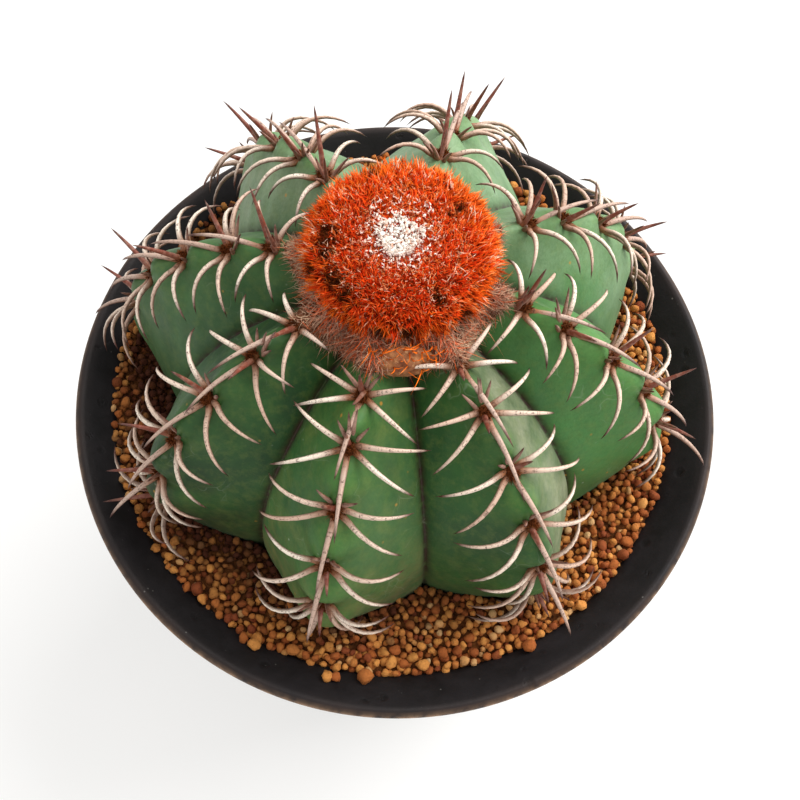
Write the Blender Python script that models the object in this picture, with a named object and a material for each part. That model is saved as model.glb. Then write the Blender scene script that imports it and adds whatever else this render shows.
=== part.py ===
"""A Turk's-cap cactus in a turned pot: pot, soil, ribbed stem with its spines, and bristly cap.

Lengths are in metres and angles in degrees. The pot stands on z = 0 with its axis on the z axis,
+Z is up, -Y is the front and +X the right. Heights named "above the soil" count from STEM_SOIL_Z.
"""
import itertools
import math
import random

import bmesh
import bpy
import numpy as np
from mathutils import Matrix, Quaternion, Vector

# Pot
RIM_RADIUS = 0.060
RIM_PLANE_Z = 0.0846
RIM_ROUND = 0.0014
LIP_INNER_RADIUS = 0.0520
LIP_INNER_Z = 0.0806
LIP_UNDER_RADIUS = 0.0578
LIP_UNDER_Z = 0.0808
RIM_ROUND_ANGLES = (90.0, 62.0, 31.0, 0.0, -30.0)
NECK_Z = 0.0770
NECK_OUTER_RADIUS = 0.0556
NECK_INNER_RADIUS = 0.0508
BASE_OUTER_RADIUS = 0.0415
BASE_INNER_RADIUS = 0.0365
FOOT_WIDTH = 0.0050
FOOT_HEIGHT = 0.0025
FOOT_TAPER = 0.0012
FLOOR_TOP_Z = 0.0070
DRAIN_RADIUS = 0.0070
WALL_SWELL = 0.0012
WALL_STEPS = 4
POT_SIDES = 48
SMOOTH_ANGLE = 40.0

# Soil
GAP = 0.00035
WALL_GAP = 0.00045
SOIL_CENTRE_Z = 0.0819
SOIL_RISE_TO_BACK = 0.0178
SOIL_RISE_TO_LEFT = 0.0093
SOIL_SIDES = 96
SOIL_COARSE_RADII = (0.020, 0.034)
SOIL_FINE_START = 0.0375
SOIL_FINE_RINGS = 7
SOIL_EDGE_ROUNDS = 12
GRAIN_HEIGHT = 0.0009
GRAIN_DIP = 0.00036
GRAIN_SHARES = (0.5, 1.2)
GRAIN_JITTER = 0.0005
GRAIN_SEED = 7

# Stem: the crest and the groove each run down an ellipse about the leaning axis
STEM_SOIL_Z = 0.0810
STEM_AXIS_X = -0.0006
STEM_AXIS_Y = 0.0034
STEM_LEAN_X = -0.0075
STEM_LEAN_Y = 0.0380
CREST_RADIUS = 0.0488
CREST_RISE = 0.0355
CREST_CENTRE_HEIGHT = 0.0095
GROOVE_RADIUS = 0.0400
GROOVE_RISE = 0.0360
GROOVE_CENTRE_HEIGHT = 0.0030
TOP_ANGLE = 78.2
BASE_HEIGHT = -0.0160
CREST_ROUNDNESS = 0.24
RIB_AZIMUTHS = (-101.4, -56.0, -12.7, 29.1, 75.8, 126.5, 170.7, 214.5)
FLANK_STEPS = (-1.0, -0.62, -0.26, 0.0, 0.26, 0.62)
STEM_ROWS = 25
HUMP_HEIGHT = 0.0018
HUMP_HALF_WIDTH = 0.45
FLANK_SWELL = 0.0005

# Areoles, as arc lengths down each crest from its first visible point
ARC_LEAD_ANGLE = 14.3
ARC_END_ANGLE = -51.6
ARC_TABLE_SIZE = 600
CREST_START_RADIUS = 0.0180
FIRST_AREOLES = (0.0042, 0.0012, 0.0033, 0.0067, 0.0080, 0.0050, 0.0035, 0.0012)
YOUNG_PITCH = 0.0083
AREOLE_PITCH = 0.0105
LAST_AREOLE = 0.0560
AREOLE_SOIL_ROOM = 0.0040
PAD_RADII = (0.0020, 0.0017, 0.0012)

# Spines; a turn is the heading off the skin at the root and at the tip
ROOT_SPREAD = 0.0013
ROOT_DEPTH = 0.0009
LATERALS = ((23.0, 0.0122), (-24.0, 0.0134), (157.0, 0.0122), (204.0, 0.0134))
OLD_LATERALS = ((-57.0, 0.0125), (237.0, 0.0125))
OLD_AREOLE = 0.040
YOUNG_AREOLE = 0.016
YOUNG_SHARE = 0.74
LATERAL_WIDTH = 0.0012
LATERAL_TURN = (32.0, -52.0)
LATERAL_JITTER = 5.0
RIDGE_LENGTH = 0.0145
RIDGE_WIDTH = 0.0013
RIDGE_SWINGS = (0.0, 3.0)
RIDGE_TURN = (44.0, -16.0)
CENTRAL_LENGTH = 0.0106
CENTRAL_WIDTH = 0.0013
CENTRAL_SHARES = (0.60, 0.65, 0.90, 0.90, 1.15, 1.10, 1.05, 1.00)
CENTRAL_LEANS = (0.50, 0.35)
CENTRAL_BEND = 4.0
UPPER_ANGLE = 118.0
UPPER_LENGTH = 0.0062
UPPER_WIDTH = 0.0011
UPPER_TURN = (58.0, 40.0)
SPINE_STEPS = 2
SPINE_TAPER = 0.7
SPINE_SEED = 2

# Room that the spines keep from the soil, the lip and the cap
SOIL_CLEARANCE = 0.0020
LIP_CLEARANCE = 0.0010
LIP_START_RADIUS = 0.0500
SPINE_REACH = 0.0592
CAP_CLEAR_RADIUS = 0.0203
CAP_CLEAR_HEIGHT = 0.0425
LIFT_STEPS = (0.0, 8.0, 16.0, 24.0, 32.0, 40.0, 50.0, 60.0)
SHRINK_STEPS = (1.0, 0.85, 0.7)
SWING_STEPS = (0.0, 8.0, -8.0, 16.0, -16.0)
PATH_TESTS = 8
ROOT_TESTS = 3
SPINE_SPACING = 0.0019

# Cap (cephalium)
CAP_RADIUS = 0.0162
CAP_SHOULDER_HEIGHT = 0.0452
CAP_RISE = 0.0052
CAP_BASE_ROWS = (0.0, 0.033, 0.066)
CAP_DOME_ROWS = 6
DOME_WIDTH_POWER = 0.75
DOME_HEIGHT_POWER = 0.85
BRISTLE_RINGS = 8
FIRST_RING_SHARE = 0.047
RING_SHARE_STEP = 0.1333
BRISTLE_SPACING = 0.0026
BRISTLE_LENGTH = 0.0042
BRISTLE_ROOT = 0.0010
BRISTLE_WIDTH = 0.0011
BRISTLE_LEAN = 12.0
BRISTLE_SPREAD = 66.0
BRISTLE_JITTER = 9.0
BRISTLE_SEED = 11


def clear_scene():
    """Removes every object that the new file starts with."""
    for old in list(bpy.data.objects):
        bpy.data.objects.remove(old, do_unlink=True)


def make_material(name, colour, roughness):
    """Returns a plain Principled material."""
    material = bpy.data.materials.new(name)
    material.use_nodes = True
    shader = material.node_tree.nodes["Principled BSDF"]
    shader.inputs["Base Color"].default_value = (*colour, 1.0)
    shader.inputs["Roughness"].default_value = roughness
    return material


def make_object(name, points, faces, material=None, collection=None):
    """Returns a new object made of the given points and faces."""
    mesh = bpy.data.meshes.new(name)
    mesh.from_pydata([tuple(point) for point in points], [], faces)
    mesh.validate()
    thing = bpy.data.objects.new(name, mesh)
    (collection or bpy.context.scene.collection).objects.link(thing)
    if material:
        mesh.materials.append(material)
    return thing


def ring_faces(rows, columns):
    """Returns the quads between successive closed rings of points."""
    faces = []
    for row in range(rows - 1):
        for column in range(columns):
            right = (column + 1) % columns
            upper, lower = row * columns, (row + 1) * columns
            faces.append((upper + column, lower + column, lower + right, upper + right))
    return faces


def bake_modifiers(thing):
    """Applies the modifiers, drops points that only split an edge, and cuts it into triangles."""
    graph = bpy.context.evaluated_depsgraph_get()
    baked = bpy.data.meshes.new_from_object(thing.evaluated_get(graph))
    thing.modifiers.clear()
    shape = bmesh.new()
    shape.from_mesh(baked)
    on_edges = [vertex for vertex in shape.verts if len(vertex.link_edges) == 2]
    bmesh.ops.dissolve_verts(shape, verts=on_edges)
    bmesh.ops.triangulate(shape, faces=shape.faces[:])
    shape.to_mesh(baked)
    shape.free()
    thing.data = baked


def fuse(base, repeats):
    """Joins every object of a collection to the base by one union, then removes them."""
    union = base.modifiers.new("Union", "BOOLEAN")
    union.operation = "UNION"
    union.operand_type = "COLLECTION"
    union.collection = repeats
    bake_modifiers(base)
    for thing in list(repeats.objects):
        bpy.data.objects.remove(thing, do_unlink=True)
    bpy.data.collections.remove(repeats)


def pot_inner_profile():
    """Returns the pot's inner wall as (radius, height) points from the floor to the lip's top."""
    floor_corner = (BASE_INNER_RADIUS, FLOOR_TOP_Z)
    lip_top = (RIM_RADIUS - RIM_ROUND, RIM_PLANE_Z + RIM_ROUND)
    neck = (NECK_INNER_RADIUS, NECK_Z)
    return [floor_corner, neck, (LIP_INNER_RADIUS, LIP_INNER_Z), lip_top]


def pot_outer_profile():
    """Returns the rounded rim, the lip's underside and the swelling wall down to the foot."""
    points = []
    for angle in RIM_ROUND_ANGLES:
        reach = math.radians(angle)
        radius = RIM_RADIUS - RIM_ROUND + RIM_ROUND * math.cos(reach)
        points.append((radius, RIM_PLANE_Z + RIM_ROUND * math.sin(reach)))
    points.append((LIP_UNDER_RADIUS, LIP_UNDER_Z))
    for step in range(WALL_STEPS + 1):
        share = step / WALL_STEPS
        radius = NECK_OUTER_RADIUS + share * (BASE_OUTER_RADIUS - NECK_OUTER_RADIUS)
        radius += WALL_SWELL * math.sin(math.pi * share)
        points.append((radius, NECK_Z * (1.0 - share)))
    return points


def pot_foot_profile():
    """Returns the ring that the pot stands on, its recess and the drain through the floor."""
    foot_inner = BASE_OUTER_RADIUS - FOOT_WIDTH
    recess = (foot_inner - FOOT_TAPER, FOOT_HEIGHT)
    return [(foot_inner, 0.0), recess, (DRAIN_RADIUS, FOOT_HEIGHT), (DRAIN_RADIUS, FLOOR_TOP_Z)]


def build_pot():
    """Turns the pot's closed outline about the z axis: a hollow shell with a foot and a drain."""
    outline = pot_outer_profile() + pot_foot_profile() + pot_inner_profile()[:-1]
    points = [(radius, 0.0, height) for radius, height in outline]
    mesh = bpy.data.meshes.new("pot")
    edges = [(index, (index + 1) % len(points)) for index in range(len(points))]
    mesh.from_pydata(points, edges, [])
    pot = bpy.data.objects.new("pot", mesh)
    bpy.context.scene.collection.objects.link(pot)
    turn = pot.modifiers.new("Turn", "SCREW")
    turn.axis = "Z"
    turn.angle = 2.0 * math.pi
    turn.steps = POT_SIDES
    turn.render_steps = POT_SIDES
    turn.use_merge_vertices = True
    turn.merge_threshold = 0.00001
    bake_modifiers(pot)
    pot.data.materials.append(make_material("matte_black_glaze", (0.032, 0.030, 0.032), 0.55))
    pot.data.shade_smooth()
    pot.data.set_sharp_from_angle(angle=math.radians(SMOOTH_ANGLE))


def soil_level(x, y):
    """Returns the height of the soil's even surface, which rises to the back and to the left."""
    return SOIL_CENTRE_Z + SOIL_RISE_TO_BACK * y - SOIL_RISE_TO_LEFT * x


def soil_wall_radius(height):
    """Returns the radius at which the soil stops short of the pot's inner wall."""
    profile = pot_inner_profile()
    heights = [point[1] for point in profile]
    radii = [point[0] for point in profile]
    return float(np.interp(height, heights, radii)) - WALL_GAP


def soil_edge(azimuth):
    """Returns the (radius, height) where the soil's surface meets the sloping lip."""
    radius = LIP_INNER_RADIUS
    for _ in range(SOIL_EDGE_ROUNDS):
        height = soil_level(radius * math.cos(azimuth), radius * math.sin(azimuth))
        radius = soil_wall_radius(height)
    return radius, height


def grain_points(azimuths, edges):
    """Returns rings of surface points from the middle outwards, every third one a raised grain."""
    chance = random.Random(GRAIN_SEED)
    points = []
    for ring in range(len(SOIL_COARSE_RADII) + SOIL_FINE_RINGS):
        fine = ring - len(SOIL_COARSE_RADII)
        for side, azimuth in enumerate(azimuths):
            if fine < 0:
                radius = SOIL_COARSE_RADII[ring]
            else:
                radius = SOIL_FINE_START
                radius += (edges[side][0] - SOIL_FINE_START) * fine / SOIL_FINE_RINGS
            radius += chance.uniform(-GRAIN_JITTER, GRAIN_JITTER)
            shift = azimuth + chance.uniform(-GRAIN_JITTER, GRAIN_JITTER) / radius
            x, y = radius * math.cos(shift), radius * math.sin(shift)
            grain = GRAIN_HEIGHT if (side + ring) % 3 == 0 else -GRAIN_DIP
            grain *= chance.uniform(*GRAIN_SHARES)
            points.append((x, y, soil_level(x, y) + grain))
    return points


def build_soil():
    """Makes the soil as one closed body with a grainy top and a plain hole for the stem."""
    azimuths = [2.0 * math.pi * side / SOIL_SIDES for side in range(SOIL_SIDES)]
    edges = [soil_edge(azimuth) for azimuth in azimuths]
    points = grain_points(azimuths, edges)
    for azimuth, (radius, height) in zip(azimuths, edges):
        points.append((radius * math.cos(azimuth), radius * math.sin(azimuth), height))
    wall_heights = (LIP_INNER_Z, NECK_Z, FLOOR_TOP_Z + GAP)
    for height in wall_heights:
        radius = soil_wall_radius(height)
        points += [(radius * math.cos(a), radius * math.sin(a), height) for a in azimuths]
    rings = len(points) // SOIL_SIDES
    faces = ring_faces(rings, SOIL_SIDES)
    top_centre = len(points)
    points.append((0.0, 0.0, soil_level(0.0, 0.0)))
    points.append((0.0, 0.0, FLOOR_TOP_Z + GAP))
    last = (rings - 1) * SOIL_SIDES
    for side in range(SOIL_SIDES):
        right = (side + 1) % SOIL_SIDES
        faces.append((top_centre, side, right))
        faces.append((top_centre + 1, last + right, last + side))
    material = make_material("baked_clay_grains", (0.42, 0.20, 0.060), 0.95)
    soil = make_object("soil", points, faces, material)
    hole = build_stem_body("stem_hole", GAP)
    hole.hide_render = True
    hole.display_type = "WIRE"
    cut = soil.modifiers.new("Stem hole", "BOOLEAN")
    cut.operation = "DIFFERENCE"
    cut.object = hole
    bake_modifiers(soil)
    bpy.data.objects.remove(hole, do_unlink=True)


def stem_place(radius, azimuth, height):
    """Returns the point at a radius and azimuth about the leaning axis, height above the soil."""
    x = STEM_AXIS_X + STEM_LEAN_X * height + radius * math.cos(azimuth)
    y = STEM_AXIS_Y + STEM_LEAN_Y * height + radius * math.sin(azimuth)
    return Vector((x, y, STEM_SOIL_Z + height))


def rib_share(step):
    """Returns how far a flank stands out: 1 on the rounded crest, 0 in the sharp groove."""
    crest = math.sqrt(1.0 + CREST_ROUNDNESS ** 2)
    here = math.sqrt(step * step + CREST_ROUNDNESS ** 2)
    return (crest - here) / (crest - CREST_ROUNDNESS)


def ellipse_angle(share, rise, centre_height):
    """Returns the ellipse angle at a share of the way from the top row to the base."""
    base_angle = math.degrees(math.asin((BASE_HEIGHT - centre_height) / rise))
    return math.radians(TOP_ANGLE + share * (base_angle - TOP_ANGLE))


def crest_point(angle):
    """Returns the crest's (radius, height) at an ellipse angle."""
    height = CREST_CENTRE_HEIGHT + CREST_RISE * math.sin(angle)
    return CREST_RADIUS * math.cos(angle), height


def crest_arc_table():
    """Returns ellipse angles and the arc length down the crest to each."""
    start = math.acos(CREST_START_RADIUS / CREST_RADIUS)
    lead = start + math.radians(ARC_LEAD_ANGLE)
    angles = np.linspace(lead, math.radians(ARC_END_ANGLE), ARC_TABLE_SIZE)
    radii = CREST_RADIUS * np.cos(angles)
    heights = CREST_CENTRE_HEIGHT + CREST_RISE * np.sin(angles)
    lengths = np.concatenate(([0.0], np.cumsum(np.hypot(np.diff(radii), np.diff(heights)))))
    lengths -= np.interp(-start, -angles, lengths)
    return angles, lengths


def areole_arcs(rib):
    """Returns the arc lengths of the areoles down one rib's crest."""
    arcs = [FIRST_AREOLES[rib]]
    pitch = YOUNG_PITCH
    while arcs[-1] + pitch <= LAST_AREOLE:
        arcs.append(arcs[-1] + pitch)
        pitch = AREOLE_PITCH
    return arcs


def hump(rib, arc):
    """Returns how far the crest swells between its areoles, from 0 at one to 1 midway."""
    arcs = areole_arcs(rib)
    if arc <= arcs[0] or arc >= arcs[-1]:
        return 0.0
    for above, below in zip(arcs, arcs[1:]):
        if arc <= below:
            return math.sin(math.pi * (arc - above) / (below - above)) ** 2
    return 0.0


def half_rib_angle(rib, step):
    """Returns the signed angle from a rib's crest to the groove on the step's side."""
    beside = RIB_AZIMUTHS[(rib + (1 if step > 0 else -1)) % len(RIB_AZIMUTHS)]
    turn = (beside - RIB_AZIMUTHS[rib] + 180.0) % 360.0 - 180.0
    return math.radians(turn / 2.0)


def stem_point(rib, step, share, margin, arc_table):
    """Returns a point of the stem's surface, grown outwards by the margin.

    In plan each flank is the chord from the crest to the groove, a little swollen.
    """
    crest_angle = ellipse_angle(share, CREST_RISE, CREST_CENTRE_HEIGHT)
    groove_angle = ellipse_angle(share, GROOVE_RISE, GROOVE_CENTRE_HEIGHT)
    crest_radius, crest_height = crest_point(crest_angle)
    groove_radius = GROOVE_RADIUS * math.cos(groove_angle)
    groove_height = GROOVE_CENTRE_HEIGHT + GROOVE_RISE * math.sin(groove_angle)
    out = rib_share(step)
    half = half_rib_angle(rib, step)
    groove_depth = groove_radius * math.cos(half)
    forward = groove_depth + out * (crest_radius - groove_depth)
    beside = abs(step) * groove_radius * math.sin(half)
    angles, lengths = arc_table
    arc = float(np.interp(-crest_angle, -angles, lengths))
    swell = HUMP_HEIGHT * hump(rib, arc) * max(0.0, 1.0 - abs(step) / HUMP_HALF_WIDTH)
    swell += FLANK_SWELL * math.sin(math.pi * abs(step)) * groove_radius / GROOVE_RADIUS
    grow = margin + swell
    angle = groove_angle + out * (crest_angle - groove_angle)
    radius = math.hypot(forward, beside) + grow * math.cos(angle)
    height = groove_height + out * (crest_height - groove_height) + grow * math.sin(angle)
    azimuth = math.radians(RIB_AZIMUTHS[rib]) + math.atan2(beside, forward)
    return stem_place(radius, azimuth, height)


def stem_rings(shares, margin):
    """Returns the stem's closed rings of points at the given shares from the top to the base."""
    table = crest_arc_table()
    points = []
    for share in shares:
        for rib in range(len(RIB_AZIMUTHS)):
            for step in FLANK_STEPS:
                points.append(stem_point(rib, step, share, margin, table))
    return points


def build_stem_body(name, margin=0.0, material=None):
    """Makes the ribbed body alone, from the flat under the cap to its base in the soil."""
    shares = [(row / (STEM_ROWS - 1)) for row in range(STEM_ROWS)]
    points = stem_rings(shares, margin)
    columns = len(RIB_AZIMUTHS) * len(FLANK_STEPS)
    faces = ring_faces(STEM_ROWS, columns)
    last = (STEM_ROWS - 1) * columns
    top_height = sum(point.z for point in points[:columns]) / columns - STEM_SOIL_Z
    top = len(points)
    points.append(stem_place(0.0, 0.0, top_height))
    points.append(stem_place(0.0, 0.0, BASE_HEIGHT - margin))
    for column in range(columns):
        right = (column + 1) % columns
        faces.append((top, column, right))
        faces.append((top + 1, last + right, last + column))
    return make_object(name, points, faces, material)


def needle(name, path, side, width, collection):
    """Makes a three-sided needle that follows the path and ends in a point."""
    points = []
    steps = len(path) - 1
    for index in range(steps):
        ahead = (path[index + 1] - path[max(index - 1, 0)]).normalized()
        across = ahead.cross(side).normalized()
        upright = across.cross(ahead)
        reach = 0.5 * width * (1.0 - index / steps) ** SPINE_TAPER
        for corner in (90.0, 210.0, 330.0):
            turn = math.radians(corner)
            points.append(path[index] + reach * (math.cos(turn) * across + math.sin(turn) * upright))
    points.append(path[-1])
    faces = [(2, 1, 0)]
    for index in range(steps - 1):
        for corner in range(3):
            after = (corner + 1) % 3
            low, high = 3 * index, 3 * (index + 1)
            faces.append((low + corner, low + after, high + after, high + corner))
    low = 3 * (steps - 1)
    for corner in range(3):
        faces.append((low + corner, low + (corner + 1) % 3, len(points) - 1))
    return make_object(name, points, faces, None, collection)


def is_clear(point):
    """Tells whether a spine may pass here, away from the cap, the soil and the pot's lip."""
    height = point.z - STEM_SOIL_Z
    axis = stem_place(0.0, 0.0, height)
    out = math.hypot(point.x - axis.x, point.y - axis.y)
    if height > CAP_CLEAR_HEIGHT and out < CAP_CLEAR_RADIUS:
        return False
    reach = math.hypot(point.x, point.y)
    lowest = soil_level(point.x, point.y) + SOIL_CLEARANCE
    if reach > LIP_START_RADIUS:
        lowest = RIM_PLANE_Z + RIM_ROUND + LIP_CLEARANCE
    return reach < SPINE_REACH and point.z > lowest


def claw_path(root, along, outward, length, start, end, steps):
    """Returns points of an arc whose heading turns evenly from start to end degrees."""
    path = [root]
    for step in range(steps):
        turn = math.radians(start + (end - start) * (step + 0.5) / steps)
        ahead = along * math.cos(turn) + outward * math.sin(turn)
        path.append(path[-1] + ahead * length / steps)
    return path


def keeps_apart(path, placed):
    """Tells whether a path, past its root, stays away from every spine placed before it."""
    if not placed:
        return True
    others = np.concatenate(placed)
    own = np.array(path[ROOT_TESTS:])
    gaps = np.linalg.norm(own[:, None, :] - others[None, :, :], axis=2)
    return float(gaps.min()) > SPINE_SPACING


def claw(name, areole, along, length, width, turn, placed, collection):
    """Makes a spine, lifted, swung or shortened until it passes clear of everything."""
    root, outward = areole
    root = root + along * ROOT_SPREAD - outward * ROOT_DEPTH
    start, end = turn
    chosen = None
    for shrink, lift, swing in itertools.product(SHRINK_STEPS, LIFT_STEPS, SWING_STEPS):
        ahead = Quaternion(outward, math.radians(swing)) @ along
        arc = (root, ahead, outward, length * shrink, start + lift, end + lift)
        fine = claw_path(*arc, PATH_TESTS)
        if not all(is_clear(point) for point in fine[1:]):
            continue
        apart = keeps_apart(fine, placed)
        if apart or chosen is None:
            chosen = (arc, fine)
        if apart:
            break
    if chosen:
        arc, fine = chosen
        placed.append(np.array(fine[ROOT_TESTS:]))
        needle(name, claw_path(*arc, SPINE_STEPS), arc[1].cross(outward), width, collection)


def areole_frame(rib, arc, arc_table):
    """Returns the areole's place with its outward, downhill and sideways directions."""
    angles, lengths = arc_table
    angle = float(np.interp(arc, lengths, angles))
    radius, height = crest_point(angle)
    azimuth = math.radians(RIB_AZIMUTHS[rib])
    place = stem_place(radius, azimuth, height)
    radial = Vector((math.cos(azimuth), math.sin(azimuth), 0.0))
    upwards = Vector((0.0, 0.0, 1.0))
    outward = radial * (math.cos(angle) * CREST_RISE) + upwards * (math.sin(angle) * CREST_RADIUS)
    outward.normalize()
    sideways = upwards.cross(radial)
    downhill = sideways.cross(outward).normalized()
    return place, outward, downhill, sideways


def central_heading(outward, arc):
    """Returns the central spine's course over the skin and its heading off it, leaning to the back."""
    young, old = CENTRAL_LEANS
    lean = young + (old - young) * arc / LAST_AREOLE
    along = Vector((0.0, 1.0, 0.0)) - outward * outward.y
    heading = math.degrees(math.atan2(1.0 + lean * outward.y, lean * along.length))
    return along.normalized(), heading


def grow_areole(rib, number, arc, table, placed, repeats):
    """Places one felt pad with its ridge, central, lateral and short upper spines."""
    chance = random.Random(SPINE_SEED + 100 * rib + number)
    place, outward, downhill, sideways = areole_frame(rib, arc, table)
    if place.z < soil_level(place.x, place.y) + AREOLE_SOIL_ROOM:
        return
    label = f"areole_{rib}_{number}"
    pad = build_pad(label, repeats)
    facing = Matrix((downhill, sideways, outward)).transposed().to_4x4()
    pad.data.transform(Matrix.Translation(place) @ facing @ Matrix.Diagonal((*PAD_RADII, 1.0)))

    def vary(value, spread=0.08):
        return value * chance.uniform(1.0 - spread, 1.0 + spread)

    def spread_out(angle):
        reach = math.radians(angle + chance.uniform(-LATERAL_JITTER, LATERAL_JITTER))
        return sideways * math.cos(reach) - downhill * math.sin(reach)

    side = 1 if chance.random() < 0.5 else -1
    swing = math.radians(chance.uniform(*RIDGE_SWINGS)) * (1 if sideways.y > 0.0 else -1)
    along = downhill * math.cos(swing) + sideways * math.sin(swing)
    areole = (place, outward)
    turn = (vary(RIDGE_TURN[0]), RIDGE_TURN[1])
    claw(f"{label}_ridge", areole, along, vary(RIDGE_LENGTH), RIDGE_WIDTH, turn, placed, repeats)
    along, heading = central_heading(outward, arc)
    middle = (place - along * ROOT_SPREAD, outward)
    turn = (vary(heading - CENTRAL_BEND), vary(heading + CENTRAL_BEND))
    length = vary(CENTRAL_LENGTH * CENTRAL_SHARES[rib], 0.12)
    claw(f"{label}_central", middle, along, length, CENTRAL_WIDTH, turn, placed, repeats)
    growth = min(1.0, YOUNG_SHARE + (1.0 - YOUNG_SHARE) * arc / YOUNG_AREOLE)
    for count, (angle, reach) in enumerate(LATERALS + (OLD_LATERALS if arc > OLD_AREOLE else ())):
        along = spread_out(angle)
        turn = (vary(LATERAL_TURN[0], 0.3), vary(LATERAL_TURN[1], 0.2))
        length = vary(reach * growth)
        claw(f"{label}_{count}", areole, along, length, LATERAL_WIDTH, turn, placed, repeats)
    along = spread_out(UPPER_ANGLE if side > 0 else 180.0 - UPPER_ANGLE)
    length = vary(UPPER_LENGTH, 0.2)
    claw(f"{label}_upper", areole, along, length, UPPER_WIDTH, UPPER_TURN, placed, repeats)


def build_pad(name, collection):
    """Makes a unit lump of twenty faces for the felt of an areole."""
    golden = (1.0 + math.sqrt(5.0)) / 2.0
    size = math.sqrt(1.0 + golden * golden)
    corners = []
    for first in (-1.0, 1.0):
        for second in (-golden, golden):
            corners.append((0.0, first / size, second / size))
            corners.append((first / size, second / size, 0.0))
            corners.append((second / size, 0.0, first / size))
    pad = make_object(name, corners, [], None, collection)
    wrap_in_hull(pad)
    return pad


def wrap_in_hull(thing):
    """Closes loose points by their convex hull."""
    shape = bmesh.new()
    shape.from_mesh(thing.data)
    bmesh.ops.convex_hull(shape, input=shape.verts)
    shape.to_mesh(thing.data)
    shape.free()


def build_stem():
    """Fuses the ribbed body with every areole's pad and spines."""
    material = make_material("green_epidermis", (0.085, 0.210, 0.085), 0.60)
    stem = build_stem_body("stem", 0.0, material)
    repeats = bpy.data.collections.new("stem_repeats")
    bpy.context.scene.collection.children.link(repeats)
    table = crest_arc_table()
    placed = []
    for rib in range(len(RIB_AZIMUTHS)):
        for number, arc in enumerate(areole_arcs(rib)):
            grow_areole(rib, number, arc, table, placed, repeats)
    fuse(stem, repeats)


def cap_dome(share):
    """Returns the cap's (radius, height) from its centre at 0 to its shoulder at 1."""
    turn = 0.5 * math.pi * (1.0 - share)
    radius = CAP_RADIUS * math.cos(turn) ** DOME_WIDTH_POWER
    return radius, CAP_SHOULDER_HEIGHT + CAP_RISE * math.sin(turn) ** DOME_HEIGHT_POWER


def build_cap():
    """Makes the cap's core to fit the stem's top, and fuses its bristles to it."""
    columns = len(RIB_AZIMUTHS) * len(FLANK_STEPS)
    under = stem_rings(CAP_BASE_ROWS, 0.0)
    lift = Vector((0.0, 0.0, GAP))
    points = [point + lift for point in under]
    first_ring = under[:columns]
    azimuths = []
    for point in first_ring:
        axis = stem_place(0.0, 0.0, point.z - STEM_SOIL_Z)
        azimuths.append(math.atan2(point.y - axis.y, point.x - axis.x))
    for row in range(CAP_DOME_ROWS):
        radius, height = cap_dome(1.0 - row / CAP_DOME_ROWS)
        points += [stem_place(radius, azimuth, height) for azimuth in azimuths]
    rows = len(CAP_BASE_ROWS) + CAP_DOME_ROWS
    faces = [tuple(reversed(face)) for face in ring_faces(rows, columns)]
    mean_height = sum(point.z for point in first_ring) / columns - STEM_SOIL_Z
    bottom = len(points)
    points.append(stem_place(0.0, 0.0, mean_height + GAP))
    points.append(stem_place(0.0, 0.0, CAP_SHOULDER_HEIGHT + CAP_RISE))
    last = (rows - 1) * columns
    for column in range(columns):
        right = (column + 1) % columns
        faces.append((bottom, right, column))
        faces.append((bottom + 1, last + column, last + right))
    material = make_material("orange_bristles", (0.60, 0.075, 0.020), 0.70)
    cap = make_object("cephalium", points, faces, material)
    repeats = bpy.data.collections.new("cap_repeats")
    bpy.context.scene.collection.children.link(repeats)
    grow_bristles(repeats)
    fuse(cap, repeats)


def grow_bristles(repeats):
    """Plants rings of bristles over the dome, upright at its centre and spread at its shoulder."""
    chance = random.Random(BRISTLE_SEED)
    for ring in range(BRISTLE_RINGS):
        share = FIRST_RING_SHARE + ring * RING_SHARE_STEP
        radius, height = cap_dome(share)
        count = max(3, round(2.0 * math.pi * radius / BRISTLE_SPACING))
        for number in range(count):
            place = number + 0.5 * (ring % 2) + chance.uniform(-0.2, 0.2)
            azimuth = 2.0 * math.pi * place / count
            spread = BRISTLE_LEAN + BRISTLE_SPREAD * share ** 1.6
            spread = math.radians(spread + chance.uniform(-BRISTLE_JITTER, BRISTLE_JITTER))
            radial = Vector((math.cos(azimuth), math.sin(azimuth), 0.0))
            ahead = radial * math.sin(spread) + Vector((0.0, 0.0, math.cos(spread)))
            foot = stem_place(radius, azimuth, height) - ahead * BRISTLE_ROOT
            tip = foot + ahead * (BRISTLE_LENGTH * chance.uniform(0.88, 1.12))
            side = ahead.cross(Vector((-radial.y, radial.x, 0.0)))
            needle(f"bristle_{ring}_{number}", [foot, tip], side, BRISTLE_WIDTH, repeats)


clear_scene()
build_pot()
build_soil()
build_stem()
build_cap()
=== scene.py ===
import itertools
import math
import random

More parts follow.
